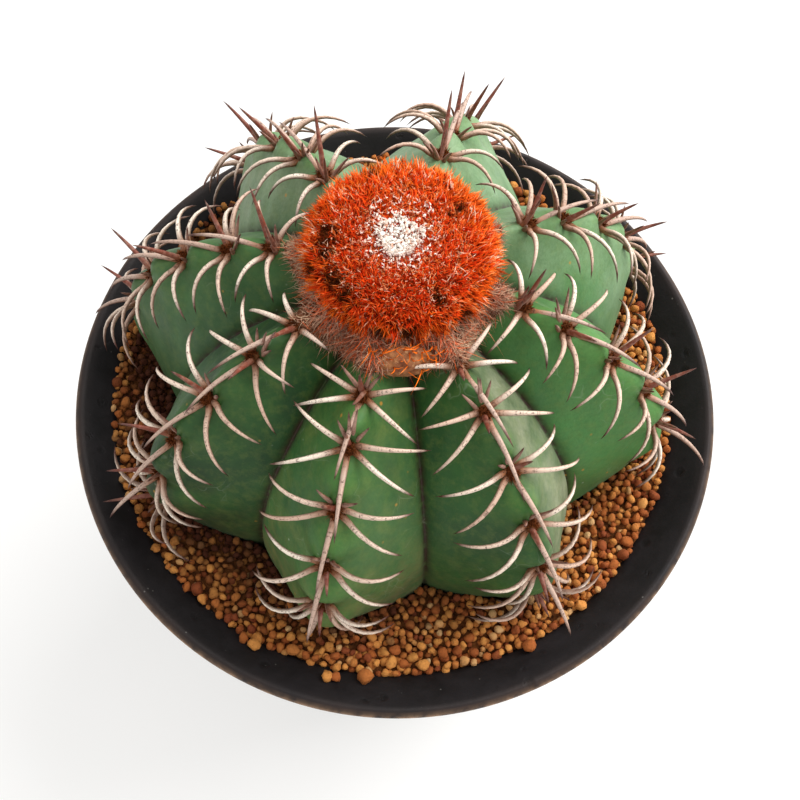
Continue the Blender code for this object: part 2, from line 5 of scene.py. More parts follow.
import bmesh
import bpy
import numpy as np
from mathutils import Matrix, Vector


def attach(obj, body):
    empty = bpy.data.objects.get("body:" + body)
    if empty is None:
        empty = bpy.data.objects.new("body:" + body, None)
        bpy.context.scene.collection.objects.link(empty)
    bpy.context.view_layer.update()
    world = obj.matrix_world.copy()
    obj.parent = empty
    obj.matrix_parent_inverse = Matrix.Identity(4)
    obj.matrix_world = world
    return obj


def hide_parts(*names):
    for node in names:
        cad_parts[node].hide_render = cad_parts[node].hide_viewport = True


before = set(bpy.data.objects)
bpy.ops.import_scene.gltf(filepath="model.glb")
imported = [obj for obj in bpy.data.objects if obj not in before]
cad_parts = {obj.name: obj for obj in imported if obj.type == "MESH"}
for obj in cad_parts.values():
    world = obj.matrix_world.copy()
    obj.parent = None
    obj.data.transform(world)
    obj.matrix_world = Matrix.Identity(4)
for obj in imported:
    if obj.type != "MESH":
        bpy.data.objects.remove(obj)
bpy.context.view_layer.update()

# Pot
# A turned stoneware pot with a broad lip that slopes in to the soil. It is dipped in a matte black glaze,
# which breaks to a thin tan line round the rim, and stands on a plain foot ring with a drain inside it.


def shade(red, green, blue):
    """Linear colour with alpha of a screen colour whose levels run from 0 to 255."""
    levels = np.array((red, green, blue)) / 255.0
    linear = np.where(levels <= 0.04045, levels / 12.92, ((levels + 0.055) / 1.055) ** 2.4)
    return (*linear.tolist(), 1.0)


RIM_RADIUS = 0.0600
RIM_Z = 0.0846
RIM_ROUND = 0.0014
RIM_ROUND_ANGLES = np.radians((90.0, 72.0, 54.0, 36.0, 18.0, 0.0, -18.0, -34.0))
LIP_UNDER = (0.0578, 0.0808)
LIP_INNER = (0.0520, 0.0806)
NECK_Z = 0.0770
NECK_RADII = (0.0556, 0.0508)
BASE_RADII = (0.0415, 0.0365)
FOOT_RING = ((0.0365, 0.0), (0.0353, 0.0025))
DRAIN_RADIUS = 0.0070
FLOOR_Z = (0.0025, 0.0070)
WALL_SWELL = 0.0012
WALL_STEPS = 12
POT_TURNS = 200
SIDE_LENGTH = 0.0034
THROWING_RING = (0.00005, 1450.0)
RIM_LINE = (0.0001, 0.0007)
ROLL_WIDTH = 0.0022
GLAZE_DARK = shade(15, 14, 15)
GLAZE_LIGHT = shade(32, 29, 31)
GLAZE_PIT = shade(10, 9, 10)
GLAZE_TAN = shade(168, 132, 100)
GLAZE_BROWN = shade(66, 50, 42)
GLAZE_DUST = shade(150, 146, 140)


def add(tree, kind, inputs=None, **settings):
    """Adds a shader node; each input is a value or the output of another node."""
    made = tree.nodes.new("ShaderNode" + kind)
    for key, value in settings.items():
        setattr(made, key, value)
    for key, value in (inputs or {}).items():
        if isinstance(value, bpy.types.NodeSocket):
            tree.links.new(value, made.inputs[key])
        else:
            made.inputs[key].default_value = value
    return made


def noise(tree, place, scale, detail=3.0, roughness=0.55):
    """Fractal noise from 0 to 1 whose waves are one over the scale across, in metres."""
    inputs = {"Vector": place, "Scale": scale, "Detail": detail, "Roughness": roughness}
    return add(tree, "TexNoise", inputs).outputs["Fac"]


def between(tree, value, low, high):
    """The way of a value from low to high, held between 0 and 1."""
    inputs = {"Value": value, "From Min": low, "From Max": high}
    return add(tree, "MapRange", inputs).outputs["Result"]


def clouding(tree, place, low, high, scale, detail=3.0, roughness=0.55):
    """Noise of that scale, held to the way from low to high."""
    return between(tree, noise(tree, place, scale, detail, roughness), low, high)


def times(tree, first, second, operation="MULTIPLY"):
    """The product of two values, or what another operation makes of them."""
    return add(tree, "Math", {0: first, 1: second}, operation=operation).outputs[0]


def blend(tree, factor, first, second, most=1.0):
    """The first colour turned into the second by the factor, or by the factor times the most."""
    if most < 1.0:
        factor = times(tree, factor, most)
    return add(tree, "Mix", {0: factor, 6: first, 7: second}, data_type="RGBA").outputs[2]


def attribute(tree, name):
    """The piece's own value of that name."""
    return add(tree, "Attribute", attribute_name=name).outputs["Fac"]


def bump(tree, shader, height, distance, strength=1.0):
    """Raises the surface by the height, from 0 to 1, times the distance in metres."""
    inputs = {"Height": height, "Distance": distance, "Strength": strength}
    tree.links.new(add(tree, "Bump", inputs).outputs[0], shader.inputs["Normal"])


def new_finish(name, **sockets):
    """A new material with its node tree, shader and Object coordinates; sockets are set on the shader."""
    material = bpy.data.materials.new(name)
    material.use_nodes = True
    tree = material.node_tree
    shader = tree.nodes["Principled BSDF"]
    for key, value in sockets.items():
        shader.inputs[key.replace("_", " ")].default_value = value
    return material, tree, shader, add(tree, "TexCoord").outputs["Object"]


def new_piece(name, points, faces, material, values=None):
    """Makes a smooth piece that rides on the pot, with one value of each name for every point."""
    mesh = bpy.data.meshes.new(name)
    mesh.from_pydata(points.tolist(), [], [face for part in faces for face in part.tolist()])
    mesh.shade_smooth()
    for key, value in (values or {}).items():
        mesh.attributes.new(key, "FLOAT", "POINT").data.foreach_set("value", np.ravel(value))
    mesh.materials.append(material)
    piece = bpy.data.objects.new(name, mesh)
    bpy.context.scene.collection.objects.link(piece)
    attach(piece, "root")
    return piece


def ring_faces(rows, columns, closed=False):
    """Quads between each ring of points and the next, and from the last to the first if closed."""
    row, column = np.mgrid[0:rows if closed else rows - 1, 0:columns]
    lower = (row + 1) % rows
    right = (column + 1) % columns
    corners = (row, column), (lower, column), (lower, right), (row, right)
    return np.stack([r * columns + c for r, c in corners], axis=-1).reshape(-1, 4)


def pot_outline():
    """Closed outline of the pot's wall as (radius, height).

    The rim is part of a circle, and the wall a straight taper plus a sine of the way down. Each side is
    divided evenly, and each corner is cut by points at a quarter and three quarters of each division.
    """
    centre = np.array((RIM_RADIUS - RIM_ROUND, RIM_Z))
    rim = centre + RIM_ROUND * np.stack((np.cos(RIM_ROUND_ANGLES), np.sin(RIM_ROUND_ANGLES)), axis=1)
    way = np.linspace(0.0, 1.0, WALL_STEPS + 1)
    radius = NECK_RADII[0] + way * (BASE_RADII[0] - NECK_RADII[0]) + WALL_SWELL * np.sin(np.pi * way)
    wall = np.stack((radius, NECK_Z * (1.0 - way)), axis=1)
    foot = (*FOOT_RING, (DRAIN_RADIUS, FLOOR_Z[0]), (DRAIN_RADIUS, FLOOR_Z[1]))
    inside = ((BASE_RADII[1], FLOOR_Z[1]), (NECK_RADII[1], NECK_Z), LIP_INNER)
    corners = np.concatenate((rim, (LIP_UNDER,), wall, foot, inside))
    sides = []
    for start, end in zip(corners, np.roll(corners, -1, axis=0)):
        count = max(1, math.ceil(np.linalg.norm(end - start) / SIDE_LENGTH))
        sides.append(start + (end - start) * (np.arange(count) / count)[:, None])
    line = np.concatenate(sides)
    after = np.roll(line, -1, axis=0)
    return np.stack((0.75 * line + 0.25 * after, 0.25 * line + 0.75 * after), axis=1).reshape(-1, 2)


def turned_pot():
    """The outline carried round the z axis.

    The faint throwing rings add a sine of the height to the radius below the neck. The tan line at the rim
    is a bell curve of the height, and the lip and the roll grow evenly with the radius.
    """
    outline = pot_outline()
    turn = np.linspace(0.0, 2.0 * np.pi, POT_TURNS, endpoint=False)
    radius, height = outline[:, :1], outline[:, 1:]
    depth, pitch = THROWING_RING
    reach = radius + depth * np.sin(pitch * height + 1.5 * np.sin(2.0 * turn)) * (height < NECK_Z)
    points = np.stack((reach * np.cos(turn), reach * np.sin(turn), height + 0.0 * turn), axis=-1)
    above, width = RIM_LINE
    rim = np.exp(-((height - RIM_Z - above) / width) ** 2) * (radius > RIM_RADIUS - width)
    roll = np.clip((radius - RIM_RADIUS + ROLL_WIDTH) / ROLL_WIDTH, 0.0, 1.0)
    lip = np.clip((radius - LIP_INNER[0]) / (RIM_RADIUS - LIP_INNER[0]), 0.0, 1.0)
    values = {"rim": rim + 0.0 * turn, "lip": lip + 0.0 * turn, "roll": roll + 0.0 * turn}
    return points.reshape(-1, 3), ring_faces(len(outline), POT_TURNS, closed=True), values


def black_glaze():
    """Matte black glaze: mottled, pitted and dusty, with a painted sheen that pales the lip toward the rim,
    and tan where its edge breaks.
    """
    material, tree, shader, place = new_finish("black_glaze", Specular_IOR_Level=0.22)
    mottle = clouding(tree, place, 0.30, 0.72, 240.0, 5.0, 0.65)
    colour = blend(tree, mottle, GLAZE_DARK, GLAZE_LIGHT)
    # Painted sheen: the lip grows paler the further out it lies, toward the rim.
    lip = between(tree, attribute(tree, "lip"), 0.0, 0.8)
    colour = blend(tree, lip, colour, GLAZE_LIGHT, 0.55)
    cells = add(tree, "TexVoronoi", {"Vector": place, "Scale": 190.0}).outputs["Distance"]
    pits = times(tree, between(tree, cells, 0.24, 0.12), between(tree, mottle, 0.4, 0.6))
    colour = blend(tree, pits, colour, GLAZE_PIT, 0.8)
    thin = times(tree, attribute(tree, "roll"), clouding(tree, place, 0.25, 0.65, 90.0, 3.0))
    colour = blend(tree, thin, colour, GLAZE_BROWN, 0.75)
    grit = add(tree, "TexVoronoi", {"Vector": place, "Scale": 760.0}).outputs["Distance"]
    rare = clouding(tree, place, 0.61, 0.66, 330.0, 2.0)
    dust = times(tree, between(tree, grit, 0.16, 0.08), rare)
    colour = blend(tree, dust, colour, GLAZE_DUST, 0.4)
    worn = clouding(tree, place, 0.34, 0.62, 420.0, 4.0)
    edge = times(tree, attribute(tree, "rim"), worn)
    colour = blend(tree, edge, colour, GLAZE_TAN, 0.85)
    tree.links.new(colour, shader.inputs["Base Color"])
    fine = noise(tree, place, 1500.0, 3.0)
    rough = add(tree, "MapRange", {"Value": mottle, "To Min": 0.50, "To Max": 0.66})
    tree.links.new(rough.outputs["Result"], shader.inputs["Roughness"])
    relief = times(tree, times(tree, fine, 0.4), pits, "SUBTRACT")
    bump(tree, shader, relief, 0.00012)
    return material


points, faces, values = turned_pot()
pot = new_piece("glazed_pot", points, (faces,), black_glaze(), values)
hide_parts("pot")

# Stem
# The green body of the cactus: eight ribs that swell between their areoles, with a thin brown crease in
# each groove. Its skin is waxy and dusted with tan cork low on the front ones. A pale bluish coat on the
# back ribs is partly painted sheen where the light grazes them, and the left and front ribs carry painted
# shade.
STEM_FOOT = np.array((-0.0006, 0.0034, 0.0810))
STEM_LEAN = np.array((-0.0075, 0.0380, 1.0))
CREST_ELLIPSE = (0.0488, 0.0355, 0.0095)
GROOVE_ELLIPSE = (0.0400, 0.0360, 0.0030)
TOP_ANGLE = math.radians(78.2)
BASE_HEIGHT = -0.0160
CREST_ROUNDNESS = 0.24
RIB_AZIMUTHS = np.radians((-101.4, -56.0, -12.7, 29.1, 75.8, 126.5, 170.7, 214.5))
RIB_COUNT = len(RIB_AZIMUTHS)
HUMP_HEIGHT = 0.0018
HUMP_HALF_WIDTH = 0.58
HUMP_SKEW = 1.25
FLANK_SWELL = 0.0005
CREASE_DEPTH = 0.0006
CREASE_WIDTH = 0.0006
CREASE_LINE = 0.00042
CREASE_SHADOW = 0.0035
ARC_LEAD_ANGLE = math.radians(14.3)
ARC_END_ANGLE = math.radians(-51.6)
CREST_START_RADIUS = 0.0180
FIRST_AREOLES = (0.0042, 0.0012, 0.0033, 0.0067, 0.0080, 0.0050, 0.0035, 0.0012)
YOUNG_PITCH = 0.0083
AREOLE_PITCH = 0.0105
LAST_AREOLE = 0.0560
FLANK_WIDTH = 0.0155
SKIN_TILT = 0.012
SKIN_WAVE = 0.00012
FELT_SPOT = 0.0026
FELT_DENT = 0.0004
CORK_HEIGHT = 0.026
RIB_COLUMNS = 46
COLUMN_POWER = 1.4
SWELL_SPOT = 0.42
SKIN_ROWS = np.concatenate((np.linspace(0.0, 0.80, 142), np.linspace(0.83, 1.0, 6)))
# Share of each rib's pale bluish coat: partly its waxy glaucous coat, partly painted sheen on the back ribs
# where the light grazes them.
RIB_BLOOM_AND_SHEEN = (0.08, 0.05, 0.15, 0.85, 1.0, 0.85, 0.35, 0.10)
# Share of each rib that is paler on its flank toward the next rib, and how that grows across the flank.
RIB_PALE_FLANK = (0.12, 1.0, 0.10, 0.15, 0.10, 0.45, 0.0, 0.0)
PALE_FLANK_RISE = 2.5
PALE_FLANK_FROM = 0.1
RIB_FRESH = (0.0, 0.0, 0.75, 0.40, 0.10, 0.0, 0.0, 0.0)
# Share of painted shade on each rib, most on the left and front ribs that face away from the light.
RIB_PAINTED_SHADE = (0.10, 0.70, 0.0, 0.0, 0.0, 0.0, 0.60, 1.0)
RIB_CORK = (0.9, 0.25, 0.15, 0.1, 0.1, 0.1, 0.15, 0.3)
SKIN_DARK = shade(32, 74, 27)
SKIN_GREEN = shade(58, 116, 44)
SKIN_FRESH = shade(84, 132, 54)
SKIN_BRIGHT = shade(76, 140, 66)
SKIN_OLIVE = shade(112, 126, 56)
SKIN_BLOOM_AND_SHEEN = shade(146, 174, 134)
SKIN_CORK = shade(134, 112, 72)
SKIN_PALE_FLANK = shade(178, 178, 148)
SKIN_PAINTED_SHADE = shade(23, 52, 23)
SKIN_CREASE = shade(50, 28, 18)
SKIN_SPECK = shade(170, 185, 160)
SKIN_OCHRE = shade(176, 132, 50)


def axis_at(height):
    """Point of the leaning axis: its foot plus its lean times the height above the soil."""
    return STEM_FOOT + STEM_LEAN * np.asarray(height)[..., None]


def about_axis(radius, azimuth, height):
    """Point at a radius and azimuth about the leaning axis."""
    flat = np.stack(np.broadcast_arrays(np.cos(azimuth), np.sin(azimuth), 0.0 * height), axis=-1)
    return axis_at(height) + np.asarray(radius)[..., None] * flat


def from_axis(points):
    """Level arrows from the leaning axis to points."""
    return points - axis_at(points[..., 2] - STEM_FOOT[2])


def unit(arrows):
    """Arrows of length 1, each divided by its own length."""
    return arrows / np.linalg.norm(arrows, axis=-1, keepdims=True)


def ellipse_line(ellipse, share):
    """(angle, radius, height) down an ellipse, its angle going evenly from the top's to the base's."""
    across, rise, centre = ellipse
    base = math.asin((BASE_HEIGHT - centre) / rise)
    angle = TOP_ANGLE + share * (base - TOP_ANGLE)
    return angle, across * np.cos(angle), centre + rise * np.sin(angle)


def crest_lengths():
    """Ellipse angles with the length down the crest to each, counted from the cap's edge."""
    start = math.acos(CREST_START_RADIUS / CREST_ELLIPSE[0])
    angles = np.linspace(start + ARC_LEAD_ANGLE, ARC_END_ANGLE, 600)
    across, rise, centre = CREST_ELLIPSE
    steps = np.hypot(np.diff(across * np.cos(angles)), np.diff(rise * np.sin(angles)))
    lengths = np.concatenate(([0.0], np.cumsum(steps)))
    return angles, lengths - np.interp(-start, -angles, lengths)


ARC_ANGLES, ARC_LENGTHS = crest_lengths()


def areole_arcs(rib):
    """Lengths down a crest to its areoles: a first one, a young pitch, then an even pitch."""
    first = FIRST_AREOLES[rib]
    rest = np.arange(first + YOUNG_PITCH, LAST_AREOLE + 1e-9, AREOLE_PITCH)
    return np.concatenate(([first], rest))


AREOLE_ARCS = [areole_arcs(rib) for rib in range(RIB_COUNT)]


def swelling(rib, arc):
    """How far the crest swells: the squared sine of the way from one areole to the next."""
    swell = np.zeros(arc.shape)
    for number, places in enumerate(AREOLE_ARCS):
        below = np.clip(np.searchsorted(places, arc), 1, len(places) - 1)
        way = np.clip((arc - places[below - 1]) / (places[below] - places[below - 1]), 0.0, 1.0)
        swell = np.where(rib == number, np.sin(np.pi * way ** HUMP_SKEW) ** 2, swell)
    return swell


def nearest_areole(rib, arc):
    """The length from a place on a crest to the nearest areole of its rib."""
    gap = np.full(arc.shape, 1.0)
    for number, places in enumerate(AREOLE_ARCS):
        near = np.abs(arc[..., None] - places).min(axis=-1)
        gap = np.where(rib == number, near, gap)
    return gap


def stem_skin(turn, share, grow=0.0, detail=True):
    """Points of the skin at `turn` ribs round and `share` of the way from the top to the base.

    In plan a flank is the chord from the groove to the crest, rounded there by a hyperbola. The crest and
    the groove each run down an ellipse. The swelling adds to the radius and height along the ellipse angle.
    """
    turn, share = np.broadcast_arrays(np.asarray(turn, float), np.asarray(share, float))
    rib = np.floor(turn + 0.5).astype(int)
    step = 2.0 * (turn - rib)
    rib = rib % RIB_COUNT
    beside = (rib + np.where(step > 0.0, 1, -1)) % RIB_COUNT
    half = (RIB_AZIMUTHS[beside] - RIB_AZIMUTHS[rib] + np.pi) % (2.0 * np.pi) - np.pi
    half = 0.5 * half
    crest_angle, crest_radius, crest_height = ellipse_line(CREST_ELLIPSE, share)
    groove_angle, groove_radius, groove_height = ellipse_line(GROOVE_ELLIPSE, share)
    top = math.hypot(1.0, CREST_ROUNDNESS)
    out = (top - np.hypot(step, CREST_ROUNDNESS)) / (top - CREST_ROUNDNESS)
    deep = groove_radius * np.cos(half)
    forward = deep + out * (crest_radius - deep)
    sideways = np.abs(step) * groove_radius * np.sin(half)
    arc = np.interp(-crest_angle, -ARC_ANGLES, ARC_LENGTHS)
    ridge = np.clip(1.0 - np.abs(step) / HUMP_HALF_WIDTH, 0.0, 1.0)
    swell = HUMP_HEIGHT * swelling(rib, arc) * ridge * ridge * (3.0 - 2.0 * ridge)
    swell = swell + FLANK_SWELL * np.sin(np.pi * np.abs(step)) * groove_radius / GROOVE_ELLIPSE[0]
    crease = (1.0 - np.abs(step)) * groove_radius * np.abs(np.sin(half))
    if detail:
        swell = swell - CREASE_DEPTH * np.exp(-(crease / CREASE_WIDTH) ** 2)
    swell = swell + grow
    angle = groove_angle + out * (crest_angle - groove_angle)
    radius = np.hypot(forward, sideways) + swell * np.cos(angle)
    height = groove_height + out * (crest_height - groove_height) + swell * np.sin(angle)
    points = about_axis(radius, RIB_AZIMUTHS[rib] + np.arctan2(sideways, forward), height)
    return points, {"rib": rib, "step": step, "out": out, "crease": crease, "arc": arc}


def capped_rings(rings, first_pole, last_pole):
    """Points and faces of a closed skin: rings of points from one pole to the other."""
    rows, columns = rings.shape[:2]
    points = np.concatenate((rings.reshape(-1, 3), [first_pole, last_pole]))
    column = np.arange(columns)
    right = (column + 1) % columns
    first, last = rows * columns, (rows - 1) * columns
    start = np.stack((np.full(columns, first), column, right), axis=1)
    end = np.stack((np.full(columns, first + 1), last + right, last + column), axis=1)
    return points, (ring_faces(rows, columns), start, end)


def ribbed_stem():
    """The skin on a grid that is finer at the crests and the creases.

    Slow waves, products and sums of sines of the place, push it in and out. Each areole has a dent, a bell
    curve of the distance to it.
    """
    column = 2.0 * np.arange(RIB_COLUMNS) / RIB_COLUMNS - 1.0
    column = 0.5 * np.sign(column) * (1.0 - (1.0 - np.abs(column)) ** COLUMN_POWER)
    turn = (np.arange(RIB_COUNT)[:, None] + column).ravel()[None, :]
    rings, lie = stem_skin(turn, SKIN_ROWS[:, None])
    outward = unit(from_axis(rings) + (0.0, 0.0, SKIN_TILT))
    x, y, z = np.moveaxis(rings * 1000.0, -1, 0)
    wave = np.sin(0.52 * x + 0.7 * np.sin(0.41 * z)) * np.sin(0.47 * y - 0.31 * z)
    wave = wave + 0.5 * np.sin(1.3 * x - 0.9 * y + 0.8 * z)
    rings = rings + outward * (SKIN_WAVE * wave)[..., None]
    gap = nearest_areole(lie["rib"], lie["arc"])
    side = np.abs(lie["step"]) * FLANK_WIDTH
    felt = np.exp(-(np.hypot(gap, side) / FELT_SPOT) ** 2)
    rings = rings - outward * (FELT_DENT * felt)[..., None]
    height = rings[..., 2] - STEM_FOOT[2]
    pale_flank = np.array(RIB_PALE_FLANK)[lie["rib"]] * np.clip(lie["step"] * PALE_FLANK_RISE - PALE_FLANK_FROM, 0.0, 1.0)
    values = {
        "crest": lie["out"],
        "crease": np.exp(-(lie["crease"] / CREASE_LINE) ** 2),
        "near_crease": np.exp(-lie["crease"] / CREASE_SHADOW),
        "swell": swelling(lie["rib"], lie["arc"]) * np.exp(-(lie["step"] / SWELL_SPOT) ** 2),
        "felt": felt,
        "low": np.clip(1.0 - height / CORK_HEIGHT, 0.0, 1.0),
        "bloom_and_sheen": np.array(RIB_BLOOM_AND_SHEEN)[lie["rib"]],
        "cork": np.array(RIB_CORK)[lie["rib"]],
        "deep": np.array(RIB_PAINTED_SHADE)[lie["rib"]],
        "fresh": np.array(RIB_FRESH)[lie["rib"]],
        "pale_flank": pale_flank,
    }
    top = axis_at(rings[0, :, 2].mean() - STEM_FOOT[2])
    points, faces = capped_rings(rings, top, axis_at(BASE_HEIGHT))
    return points, faces, {key: np.append(value.ravel(), (0.0, 0.0)) for key, value in values.items()}


def waxy_skin():
    """Green skin: darker by the crease, fresher on the swellings, paler on some flanks, with cork dust, pale
    specks, a waxy coat partly painted sheen, and painted shade.
    """
    sheen = {"Sheen_Weight": 0.06, "Sheen_Roughness": 0.45, "Sheen_Tint": shade(200, 225, 210)}
    material, tree, shader, place = new_finish("waxy_skin", Specular_IOR_Level=0.30, **sheen)
    cloud = clouding(tree, place, 0.30, 0.72, 75.0, 4.0)
    colour = blend(tree, cloud, SKIN_DARK, SKIN_GREEN)
    bright = times(tree, attribute(tree, "fresh"), clouding(tree, place, 0.10, 0.7, 80.0))
    colour = blend(tree, bright, colour, SKIN_BRIGHT)
    fresh = times(tree, attribute(tree, "swell"), clouding(tree, place, 0.25, 0.6, 140.0))
    colour = blend(tree, fresh, colour, SKIN_FRESH, 0.4)
    olive = times(tree, attribute(tree, "cork"), clouding(tree, place, 0.50, 0.72, 190.0, 4.0))
    colour = blend(tree, olive, colour, SKIN_OLIVE, 0.6)
    crest = between(tree, attribute(tree, "crest"), 0.35, 1.0)
    colour = blend(tree, crest, colour, SKIN_FRESH, 0.25)
    # Pale bluish coat: partly waxy, partly painted sheen on the back ribs where the light grazes them.
    patchy = clouding(tree, place, 0.15, 0.75, 110.0, 3.0)
    bloom_and_sheen = times(tree, attribute(tree, "bloom_and_sheen"), patchy)
    colour = blend(tree, bloom_and_sheen, colour, SKIN_BLOOM_AND_SHEEN, 0.85)
    # Painted shade on the ribs turned away from the light.
    deep = times(tree, attribute(tree, "deep"), clouding(tree, place, 0.10, 0.65, 90.0, 4.0))
    colour = blend(tree, deep, colour, SKIN_PAINTED_SHADE)
    # Paler on the flank toward the next rib, by a share for each rib.
    flank_cloud = clouding(tree, place, 0.20, 0.75, 160.0, 5.0, 0.6)
    pale_flank = times(tree, attribute(tree, "pale_flank"), flank_cloud)
    colour = blend(tree, pale_flank, colour, SKIN_PALE_FLANK, 0.75)
    shadow = between(tree, attribute(tree, "near_crease"), 0.05, 1.0)
    colour = blend(tree, shadow, colour, SKIN_DARK, 0.30)
    blotch = clouding(tree, place, 0.46, 0.70, 620.0, 5.0, 0.65)
    colour = blend(tree, blotch, colour, SKIN_OLIVE, 0.26)
    grain = clouding(tree, place, 0.42, 0.62, 1500.0, 4.0, 0.7)
    colour = blend(tree, grain, colour, SKIN_DARK, 0.20)
    dust = times(tree, attribute(tree, "cork"), between(tree, attribute(tree, "low"), 0.05, 0.9))
    dust = times(tree, dust, clouding(tree, place, 0.38, 0.66, 420.0, 6.0, 0.75))
    colour = blend(tree, dust, colour, SKIN_CORK, 0.75)
    crease = attribute(tree, "crease")
    broken = clouding(tree, place, 0.22, 0.55, 700.0, 4.0)
    colour = blend(tree, times(tree, crease, broken), colour, SKIN_CREASE)
    felt = between(tree, attribute(tree, "felt"), 0.35, 0.95)
    colour = blend(tree, felt, colour, SKIN_CREASE, 0.6)
    cells = add(tree, "TexVoronoi", {"Vector": place, "Scale": 420.0}).outputs["Distance"]
    rare = clouding(tree, place, 0.60, 0.66, 210.0, 2.0)
    speck = times(tree, between(tree, cells, 0.13, 0.06), rare)
    colour = blend(tree, speck, colour, SKIN_SPECK, 0.7)
    ochre = add(tree, "TexVoronoi", {"Vector": place, "Scale": 290.0}).outputs["Distance"]
    rare = clouding(tree, place, 0.57, 0.62, 130.0, 2.0)
    colour = blend(tree, times(tree, between(tree, ochre, 0.12, 0.05), rare), colour, SKIN_OCHRE)
    sway = add(tree, "TexNoise", {"Vector": place, "Scale": 160.0}).outputs["Color"]
    sway = add(tree, "VectorMath", {0: sway, 1: (0.006, 0.006, 0.006)}, operation="MULTIPLY").outputs[0]
    sway = add(tree, "VectorMath", {0: place, 1: sway}, operation="ADD").outputs[0]
    edges = add(tree, "TexVoronoi", {"Vector": sway, "Scale": 200.0}, feature="DISTANCE_TO_EDGE")
    rare = clouding(tree, place, 0.56, 0.64, 95.0, 3.0)
    scratch = times(tree, between(tree, edges.outputs["Distance"], 0.020, 0.006), rare)
    colour = blend(tree, scratch, colour, SKIN_SPECK, 0.15)
    tree.links.new(colour, shader.inputs["Base Color"])
    rough = add(tree, "MapRange", {"Value": cloud, "To Min": 0.46, "To Max": 0.60})
    rough = times(tree, rough.outputs["Result"], times(tree, dust, 0.3), "ADD")
    tree.links.new(rough, shader.inputs["Roughness"])
    pores = noise(tree, place, 2600.0, 2.0)
    dents = noise(tree, place, 330.0, 3.0)
    bump(tree, shader, times(tree, times(tree, pores, 0.25), dents, "ADD"), 0.00018, 0.7)
    return material


points, faces, values = ribbed_stem()
stem = new_piece("ribbed_stem", points, faces, waxy_skin(), values)
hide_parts("stem")

# Spines
# Horny claws that grow in bunches from each areole: two or three pairs spread sideways and arch back to
# the skin, a long one lies down the ridge, a rusty one stands out, and short ones point uphill.
SOIL_CENTRE_Z = 0.0819
SOIL_RISE_TO_BACK = 0.0178
SOIL_RISE_TO_LEFT = 0.0093
AREOLE_SOIL_ROOM = 0.0040
ROOT_SPREAD = 0.0013
ROOT_DEPTH = 0.0009
LATERALS = ((23.0, 0.0122), (-24.0, 0.0134), (157.0, 0.0122), (204.0, 0.0134))
OLD_LATERALS = ((-57.0, 0.0125), (237.0, 0.0125))
OLD_AREOLE = 0.040
YOUNG_AREOLE = 0.016
YOUNG_SHARE = 0.74
LATERAL_TURN = (32.0, -52.0)
LATERAL_SPREADS = (0.3, 0.2)
CENTRAL_SPREAD = 0.12
UPPER_SPREADS = (0.2, 0.3)
UPPER_OLD = ((90.0, 0.7),)
UPPER_YOUNG = ((90.0, 1.1), (80.0, 1.25))
UPPER_SWING = 8.0
ROOT_SWELL = 0.25
ROOT_SWELL_WAY = 0.07
TIP_LOSS = 0.98
TAPER_POWER = 0.55
LATERAL_JITTER = 5.0
RIDGE_LENGTH = 0.0145
RIDGE_SWINGS = (0.0, 3.0)
RIDGE_TURN = (44.0, -16.0)
CENTRAL_LENGTH = 0.0106
CENTRAL_SHARES = (0.60, 0.65, 0.90, 0.90, 1.15, 1.10, 1.05, 1.00)
CENTRAL_LEANS = (0.50, 0.35)
CENTRAL_BEND = 4.0
UPPER_ANGLE = 118.0
UPPER_LENGTH = 0.0062
UPPER_TURN = (58.0, 40.0)
SPINE_WIDTHS = {"lateral": 0.00108, "ridge": 0.00115, "central": 0.00115, "upper": 0.00090}
SPINE_KINDS = {"lateral": 0.0, "ridge": 0.45, "upper": 0.75, "central": 1.0}
SPINE_SEED = 2
SOIL_CLEARANCE = 0.0020
LIP_CLEARANCE = 0.0010
LIP_START_RADIUS = 0.0500
SPINE_REACH = 0.0592
CAP_CLEAR_RADIUS = 0.0203
CAP_CLEAR_HEIGHT = 0.0425
LIFTS = (0.0, 8.0, 16.0, 24.0, 32.0, 40.0, 50.0, 60.0)
SHRINKS = (1.0, 0.85, 0.7)
SWINGS = (0.0, 8.0, -8.0, 16.0, -16.0)
PATH_TESTS = 8
ROOT_TESTS = 3
SPINE_SPACING = 0.0019
SPINE_STEPS = 9
SPINE_SIDES = 8
ROOT_BACK = 0.0009
ROOT_LIFT = 0.0003
ARCH_LIFT = 0.0010
SPINE_BASE = shade(150, 96, 62)
SPINE_IVORY = shade(243, 229, 210)
SPINE_PINK = shade(206, 172, 150)
# Painted shade for the underside of each spine.
SPINE_UNDER_SHADE = shade(106, 64, 46)
SPINE_MAUVE = shade(186, 156, 139)
SPINE_RUST = shade(124, 60, 42)
SPINE_TIP = shade(78, 38, 28)
SPINE_FLECK = shade(74, 44, 32)


def soil_level(x, y):
    """Height of the soil's even surface, which rises to the back and to the left."""
    return SOIL_CENTRE_Z + SOIL_RISE_TO_BACK * y - SOIL_RISE_TO_LEFT * x


def areole_frame(rib, arc):
    """(place, outward, downhill, sideways) at a length down a crest; outward is the ellipse's normal."""
    angle = float(np.interp(arc, ARC_LENGTHS, ARC_ANGLES))
    across, rise, centre = CREST_ELLIPSE
    azimuth = RIB_AZIMUTHS[rib]
    place = about_axis(across * math.cos(angle), azimuth, centre + rise * math.sin(angle))
    radial = np.array((math.cos(azimuth), math.sin(azimuth), 0.0))
    outward = radial * (math.cos(angle) * rise) + np.array((0.0, 0.0, math.sin(angle) * across))
    outward = unit(outward)
    sideways = np.array((-radial[1], radial[0], 0.0))
    return place, outward, np.cross(sideways, outward), sideways


